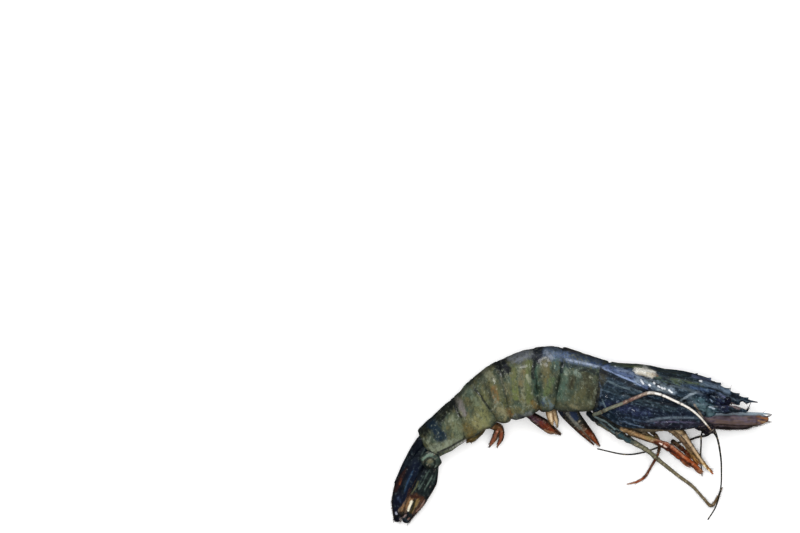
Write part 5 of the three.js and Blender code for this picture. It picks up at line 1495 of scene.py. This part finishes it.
SWIM_PAINT = {
    "grey_streak": ([(-8.4, 12.4), (-0.6, 3.6)], 0.8, "75766f", 0.9, 0.7),
    "navy_spot": ([(-12.5, 13.6), (-11.5, 11.6)], 1.6, "1d2a40", 0.9, 0.4),
    "navy_spot_2": ([(-5.5, 13), (-3.2, 9.7)], 1.6, "1f2f4c", 0.95, 0.3),
    "black_streak": ([(-1.6, 13), (4.6, 1.8)], 0.7, "15120f", 0.9, 0.3),
    "rust_tip": ([(3.5, 1.8), (9, -4.6)], 1.1, "662a0f", 0.9, 0.8),
    "pale_edge": ([(0, 3), (5.7, -3.4)], 0.45, "7c7264", 0.9, 0.7),
    "pale_tip": ([(8.4, -5.6), (9.6, -6.2)], 0.6, "b09a86", 0.9, 0.4),
    "maroon_sheen": ([(-30.7, 11.6), (-22.8, 6.8)], 1.0, "5e4353", 0.9, 0.6),
    "maroon_red": ([(-23.4, 6.9), (-17.2, 2.4)], 1.1, "6f2d12", 0.95, 0.8),
    "maroon_tan": ([(-20.6, 2.8), (-16, 1)], 0.6, "9a7a5c", 0.9, 0.6),
    "maroon_edge": ([(-32.6, 12.4), (-29, 13.4), (-20, 8.6), (-15, 3.2)], 0.45, "120c0d", 0.9, 0.2),
    # Painted highlights on the tan swimming leg.
    "finger_highlight": ([(-17.6, 12), (-17, 8)], 0.5, "f0dcba", 0.9, 0.6),
    "finger_highlight_2": ([(-14.8, 9.6), (-13.9, 6)], 0.35, "cbb491", 0.9, 0.6),
    "pink_4": ([(-47, 3), (-49.6, -2.4), (-51.6, -6.6)], 0.7, "a3614a", 0.9, 0.7),
    "dark_4": ([(-47, 0), (-47.2, -3.4)], 0.5, "35231a", 0.9, 0.4),
    "rust_light": ([(6, -1.4), (9.4, -5.4)], 0.35, "95502c", 0.7, 1),
    "pink_4b": ([(-45, 1), (-45.4, -2.6), (-47, -6.4)], 0.6, "8c4a34", 0.9, 0.7),
    "dark_4b": ([(-44, 4.6), (-43.6, 1), (-44, -3)], 0.4, "2c1c14", 0.9, 0.4),
    "rust_edge": ([(3.4, 6.3), (7.6, 0), (10.6, -5.6)], 0.8, "2b120b", 0.9, 0.5),
    "tan_edge": ([(-19.9, 13), (-19.4, 9.6), (-17.8, 6)], 0.6, "614a30", 0.95, 0.5),
    "tan_edge_2": ([(-13.8, 12), (-12.9, 8), (-13.2, 4.4)], 0.6, "5a5643", 0.95, 0.5),
    "tan_middle": ([(-16.2, 12), (-15.6, 8)], 0.45, "6f5537", 0.95, 0.5),
    "maroon_spine": ([(-14.4, 1.8), (-11.4, -0.2)], 0.5, "1d1514", 0.9, 0.3),
    "rust_edge_2": ([(-2.8, 2), (2, -2), (6.4, -5.2)], 0.6, "2f150c", 0.9, 0.5),
    "dark_4c": ([(-51.4, -6.2), (-52, -7.4)], 0.5, "241a16", 0.9, 0.2),
    "dark_4d": ([(-43.7, -1), (-45, -5), (-47.4, -7.4)], 0.35, "33211a", 0.85, 0.5),
}
SWIM_SLOTS = ["rust_limb", "tan_limb", "rust_limb", "rust_limb", "olive_limb"]
swim_paints = []
for number, tones in enumerate(SWIM_TONES, 1):
    speck = "5e4a34" if number == 2 else "241f1a"
    swim_paints.append(limb_skin(f"swimming_leg_{number}", tones, "1a1412", speck, SWIM_PAINT))


LEAF_ROOT, LEAF_MIDDLE, LEAF_TIP = 1.6, 0.9, 0.3  # half depth of a leaf along its route


def hung(leaf, moves, top, drop):
    """A leaf's full route: it is moved at its root and tip, and it sinks from its top by drop."""
    depths = [LEAF_ROOT] + [LEAF_MIDDLE] * (len(leaf) - 2) + [LEAF_TIP]
    route = []
    for i, ((x, y, half), depth) in enumerate(zip(leaf, depths)):
        share = i / (len(leaf) - 1)
        dx, dy = (moves[k] + (moves[k + 2] - moves[k]) * share for k in (0, 1))
        route.append((x + dx, y + dy, top - drop * share, half, depth))
    return route


# %% Roll the swimming legs
LEG_APART = 3.2  # mm that the root of each leg lies to the side of the ring's middle
LEAF_APART = 0.6  # mm that the short leaf lies below the long one
RIGHT_FOOT, LEFT_FOOT = 1.5, 1.4  # height of a tip that hangs all the way down
SWIM_RIBS = [(0.1, 0.35, 0.14), (0.7, 0.2, 0.1)]
FRINGE_PER_MM = 3.2
for i, (long_leaf, short_leaf, moves, hang) in enumerate(SWIMMERS):
    middle = CUTS[REAR_OF_CARAPACE + 1 + i, 5]
    near_top, far_top = middle + LEG_APART, middle - LEG_APART
    for side, shift, top, drop in (("right", (0, 0, 0, 0), near_top, (middle - RIGHT_FOOT) * hang),
                                   ("left", moves, far_top, (far_top - LEFT_FOOT) * hang)):
        name, parts = f"swimming_leg_{i + 1}_{side}", []
        for which, leaf in enumerate((long_leaf, short_leaf)):
            route = hung(leaf, shift, top - which * LEAF_APART, drop)
            shape = blade(f"{name}_leaf_{which}", route, SWIM_RIBS, 0.1, SWIM_PAINT, 32, 0.4)
            parts.append(paint(shape, swim_paints[i]))
            count = int(FRINGE_PER_MM * measured(route)[1][-1])
            parts.append(fringe(f"{name}_fringe_{which}", route, 0.45, 1, count, 1.1, 31 + i + which, 1.6,
                                thick=0.04))
        dress(join(*parts), SWIM_SLOTS[i], f"swimmeret_{i + 1}_{side}")
print("swimming legs rolled:", 2 * len(SWIMMERS))

# %% [markdown]
# ## Tail fan
#
# The fan is folded shut like a hand of cards: on each side a short root carries an outer and an
# inner leaf, and the spike of the tail lies between them. The leaves are blue-black with
# green-grey ribs, and their tips turn rusty and golden.


# %% Finish of the tail fan
FAN_PAINT = {
    "navy_leaf": ([(-93, -17), (-97, -30), (-100, -38)], 2.6, "0d1830", 0.95, 0.4),
    "navy_low": ([(-102, -34), (-105, -42), (-104, -48)], 2.4, "10142a", 0.9, 0.5),
    "brown_edge": ([(-99.4, -19), (-102, -26), (-104.6, -31)], 1.3, "3a201c", 0.9, 0.5),
    "orange_edge": ([(-101, -24.6), (-102, -27.4)], 0.6, "6e3c22", 0.8, 0.8),
    "ridge_dark": ([(-83, -20), (-86, -27), (-91, -34)], 4, "18221f", 0.9, 0.5),
    "ridge_1": ([(-83.6, -22.6), (-85.4, -26), (-88, -30.6)], 0.4, "56665c", 0.8, 0.8),
    "ridge_2": ([(-86.4, -21), (-88.4, -25.6), (-91, -30.4)], 0.4, "4a5a52", 0.85, 0.8),
    "ridge_3": ([(-91.6, -26), (-93.4, -30), (-95.4, -33)], 0.45, "5a5c42", 0.9, 0.6),
    "ridge_4": ([(-80.6, -19), (-83, -26)], 0.5, "3c4c46", 0.9, 0.6),
    "rust": ([(-93.4, -34.4), (-90, -36.4), (-89, -39.4), (-93.4, -45)], 1.9, "55301a", 0.95, 0.8),
    "gold": ([(-96.6, -36.6), (-98.4, -40), (-100.4, -42.8)], 1.8, "8d6a46", 1, 0.8),
    "gold_right": ([(-91.6, -36.4), (-92.8, -39), (-95.4, -43)], 0.9, "7d6539", 0.95, 0.8),
    "olive_line": ([(-93.6, -36.6), (-94.6, -41), (-96, -44)], 0.6, "25240f", 0.95, 0.2),
    "pink_edge": ([(-88, -36.6), (-89.6, -40), (-92.4, -43)], 0.5, "a07f70", 0.85, 0.7),
    "dark_tip": ([(-104, -46), (-101, -44.6), (-96, -46.6), (-93, -46)], 1.3, "0a090e", 0.95, 0.3),
    "dark_tip_2": ([(-103.4, -49), (-99.4, -49.6)], 1.2, "0a090e", 0.95, 0.2),
    "bright_glint": ([(-95.4, -37.4), (-96.4, -40), (-97.2, -42.2)], 0.62, "f1ead2", 1, 0.3),
    "tip_glint": ([(-104, -43.8), (-103.8, -44.4)], 0.5, "a9abba", 0.9, 0.5),
    "tip_glint_2": ([(-99.8, -46.2), (-98.4, -45)], 0.45, "a8928f", 0.9, 0.7),
    "tip_glint_3": ([(-101.8, -47.4), (-101, -46.8)], 0.5, "93807f", 0.9, 0.7),
    "ridge_2b": ([(-85, -19), (-87.2, -23)], 0.35, "3c4c46", 0.85, 0.9),
    "rust_deep": ([(-95, -34.6), (-92, -34.8)], 0.9, "3c1d12", 0.9, 0.5),
    "ridge_2c": ([(-88.6, -23), (-91.6, -29)], 0.35, "3f4f49", 0.85, 0.8),
    "blue_streak": ([(-94.4, -20), (-97.6, -26.6), (-99.4, -32)], 0.5, "24405c", 0.85, 0.7),
    "blue_haze": ([(-103, -35), (-101.6, -37.4)], 0.9, "2e3c56", 0.8, 0.9),
    "brown_streak": ([(-96, -30.6), (-97.4, -35)], 0.7, "4a2c22", 0.85, 0.7),
    "tip_glint_4": ([(-97.4, -47.4), (-96.2, -46.6)], 0.45, "7d5d52", 0.9, 0.7),
}


def fan_skin():
    b = Bench("wet_blue_black_fan", (0.7, 3, 1), -30)
    cloud, small = b.noise(3.2, 4, seed=1.0), b.noise(1.3, 4, 0.7, seed=2.0)
    colour = b.mix(cloud.ramp(0.2, 0.8), tone("0c121e"), tone("1a242e"))
    colour = b.coats(colour, (b.mark("rib") * small.ramp(0.2, 0.8) * 0.7, "3d4c45"))
    colour = b.strokes(colour, FAN_PAINT)
    colour = b.coats(
        colour,
        (small.ramp(0.45, 0) * 0.6, "06080e"),
        (small.ramp(0.65, 1) * 0.3, "7f8d86"),
        (b.mark("edge") * 0.7, "0d0c10"),
    )
    return b.finish(colour, 0.28 + cloud * 0.25, wet_bump(b, 2, 0.5), 0.45, 0.11, WET)


# %% Roll the tail fan
KNOB_X, KNOB_Y, KNOB_RADIUS = -85.2, -15.7, 2.9
KNOB = [(KNOB_X + KNOB_RADIUS * math.cos(a), KNOB_Y + KNOB_RADIUS * math.sin(a))
        for a in np.linspace(0, 2 * math.pi, 25)]
KNOB_PAINT = {
    "knob_arc": ([(-89, -13.6), (-86.6, -11.6), (-83.6, -10.8)], 0.7, "6f8374", 0.9, 0.5),
    "knob_low": ([(-82.6, -16.6), (-81, -19.4)], 0.6, "7c8c80", 0.85, 0.7),
    "knob_ring": (KNOB, 0.6, "151c17", 0.95, 0.2),
    "knob_eye": ([(-85.2, -14.8), (-84.6, -14.4)], 1.3, "5f5c44", 0.9, 0.7),
    "knob_pit": ([(-85.6, -17.6), (-84.8, -17.4)], 0.8, "191a12", 0.9, 0.4),
    "knob_top": ([(-88, -8.4), (-84, -8.6), (-80.6, -11)], 0.7, "12181a", 0.9, 0.3),
}
TAIL_SPIKE = [(-88, -1, 6.6, 3, 3.6), (-93, -7.5, 6.4, 2.6, 3.4), (-99, -17, 5.8, 1.7, 2.2),
              (-105, -27.3, 5, 0.25, 0.25)]
FAN = {
    "root": [(-84.4, -8.6, 10.8, 4.4, 2), (-84.8, -13.6, 11, 5.8, 1.9), (-86, -19, 10.4, 4.6, 1.2)],
    "outer_leaf": [(-83.4, -15, 8.4, 2.8, 0.7), (-87.2, -26, 8.4, 5.7, 0.8), (-93, -37, 7.4, 5.2, 0.7),
                   (-99.4, -49.4, 5.6, 1.8, 0.4)],
    "inner_leaf": [(-86.4, -4.4, 6.6, 4.2, 0.7), (-89, -10, 6.8, 5, 0.7), (-93, -17, 6.6, 5.2, 0.7),
                   (-98.2, -28, 6, 6.2, 0.7), (-101.4, -38, 5, 5, 0.6), (-103.4, -48.8, 3.6, 1.4, 0.4)],
}
FAR_FAN = {  # move and lift of the leaves that lie on the table
    "root": ((0.5, -1), 1.8), "outer_leaf": ((0.9, 0.8), -0.8), "inner_leaf": ((-0.4, -0.4), 1.3),
}
FAR_PRESS = 0.24
FAN_RIBS = {
    "outer_leaf": [(0.62, 0.35, 0.12), (0.1, 0.25, 0.08)],
    "inner_leaf": [(0, 0.35, 0.12), (0.5, 0.15, 0.08)],
}
FAN_NODES = {"root": "uropod_base", "outer_leaf": "uropod_outer", "inner_leaf": "uropod_inner"}
GREEN_GREY = {0: "2c3a34", 0.5: "3c4a41", 1: "26312f"}
fan_paint = fan_skin()
root_skin = limb_skin("green_grey_fan_root", GREEN_GREY, "161d20", "1a2222", KNOB_PAINT)
for part, route in FAN.items():
    move, lift = FAR_FAN[part]
    for side, knots in (("right", route), ("left", under(route, move, lift, FAR_PRESS))):
        name = f"tail_{part}_{side}"
        if part == "root":
            root = limb(name, knots, uneven=0.1, columns=40, pitch=0.3, strokes=KNOB_PAINT)
            piece = paint(root, root_skin)
        else:
            leaf = paint(blade(name, knots, FAN_RIBS[part], 0.12, FAN_PAINT), fan_paint)
            hairs = fringe(name + "_fringe", knots, 0.3, 1, 260, 1.5, 51, 1.5, thick=0.06)
            piece = join(leaf, hairs)
        dress(piece, "tail_shell", f"{FAN_NODES[part]}_{side}")
spike = paint(limb("tail_spike", TAIL_SPIKE, uneven=0.04, columns=32), fan_paint)
dress(spike, "tail_shell", "telson")
print("tail fan rolled")

# %% [markdown]
# ## Table, light and camera
#
# A studio shot of seafood uses a faintly glowing white table, one broad soft light above, and a
# strip light low behind the back of the animal, which draws the long wet highlight along the
# shoulder; a painted highlight in the shell's colour lies along the same place. The camera looks
# straight down through a long lens, so nothing is stretched.

# %% The table
only()
bpy.ops.mesh.primitive_plane_add(size=3, location=(0, 0, 0))
table = bpy.context.object
table.name = "white_table"
white = Bench("white_table_top")
glow = {"Emission Color": (1, 1, 1, 1), "Emission Strength": 0.3}
paint(table, white.finish((0.8, 0.8, 0.8, 1), 0.7, None, fixed=glow))


# %% Lights
def softbox(name, place, aim, size, power, colour=(1, 1, 1)):
    """A rectangular area light at a place in metres that faces a point."""
    only()
    bpy.ops.object.light_add(type="AREA", location=place)
    lamp = bpy.context.object
    lamp.name = name
    lamp.data.shape = "RECTANGLE"
    lamp.data.size, lamp.data.size_y = size
    lamp.data.energy, lamp.data.color = power, colour
    way = Vector(aim) - Vector(place)
    lamp.rotation_euler = way.to_track_quat("-Z", "Y").to_euler()
    return lamp


overhead = softbox("overhead", (-0.1, 0.2, 1.3), (0, 0, 0), (1.6, 1.4), 23)
fill = softbox("fill", (0.3, -0.9, 0.7), (0, 0, 0), (1.2, 0.8), 5, (1, 0.98, 0.95))
softbox("strip_behind", (0.05, 0.8, 0.2), (0, 0, 0.01), (1.3, 0.14), 0.9, (0.8, 0.88, 1))
softbox("key", (-0.2, 0.85, 0.8), (0, 0, 0), (0.3, 0.22), 2.2)
# The two broad lights only brighten; the table stays out of the wet shell's reflections.
overhead.visible_glossy = fill.visible_glossy = False
table.visible_glossy = table.visible_diffuse = False
world = bpy.data.worlds.new("studio_air")
world.use_nodes = True
world.node_tree.nodes["Background"].inputs["Color"].default_value = (1, 1, 1, 1)
world.node_tree.nodes["Background"].inputs["Strength"].default_value = 0.05
bpy.context.scene.world = world

# %% Camera, straight above
VIEW_WIDTH = 448.0  # mm across the picture
CAMERA_X, CAMERA_Y, CAMERA_HEIGHT = -101.8, 94.5, 3000.0  # height above the prawn's middle
PRAWN_MIDDLE = 13  # mm above the table
SENSOR = 36
camera_place = (CAMERA_X * MM, CAMERA_Y * MM, (CAMERA_HEIGHT + PRAWN_MIDDLE) * MM)
only()
bpy.ops.object.camera_add(location=camera_place, rotation=(0, 0, 0))
camera = bpy.context.object
camera.data.sensor_width = SENSOR
camera.data.lens = SENSOR * CAMERA_HEIGHT / VIEW_WIDTH
camera.data.clip_end = 20
bpy.context.scene.camera = camera
bpy.context.scene.view_settings.view_transform = "Standard"
print("lens, mm:", round(camera.data.lens))
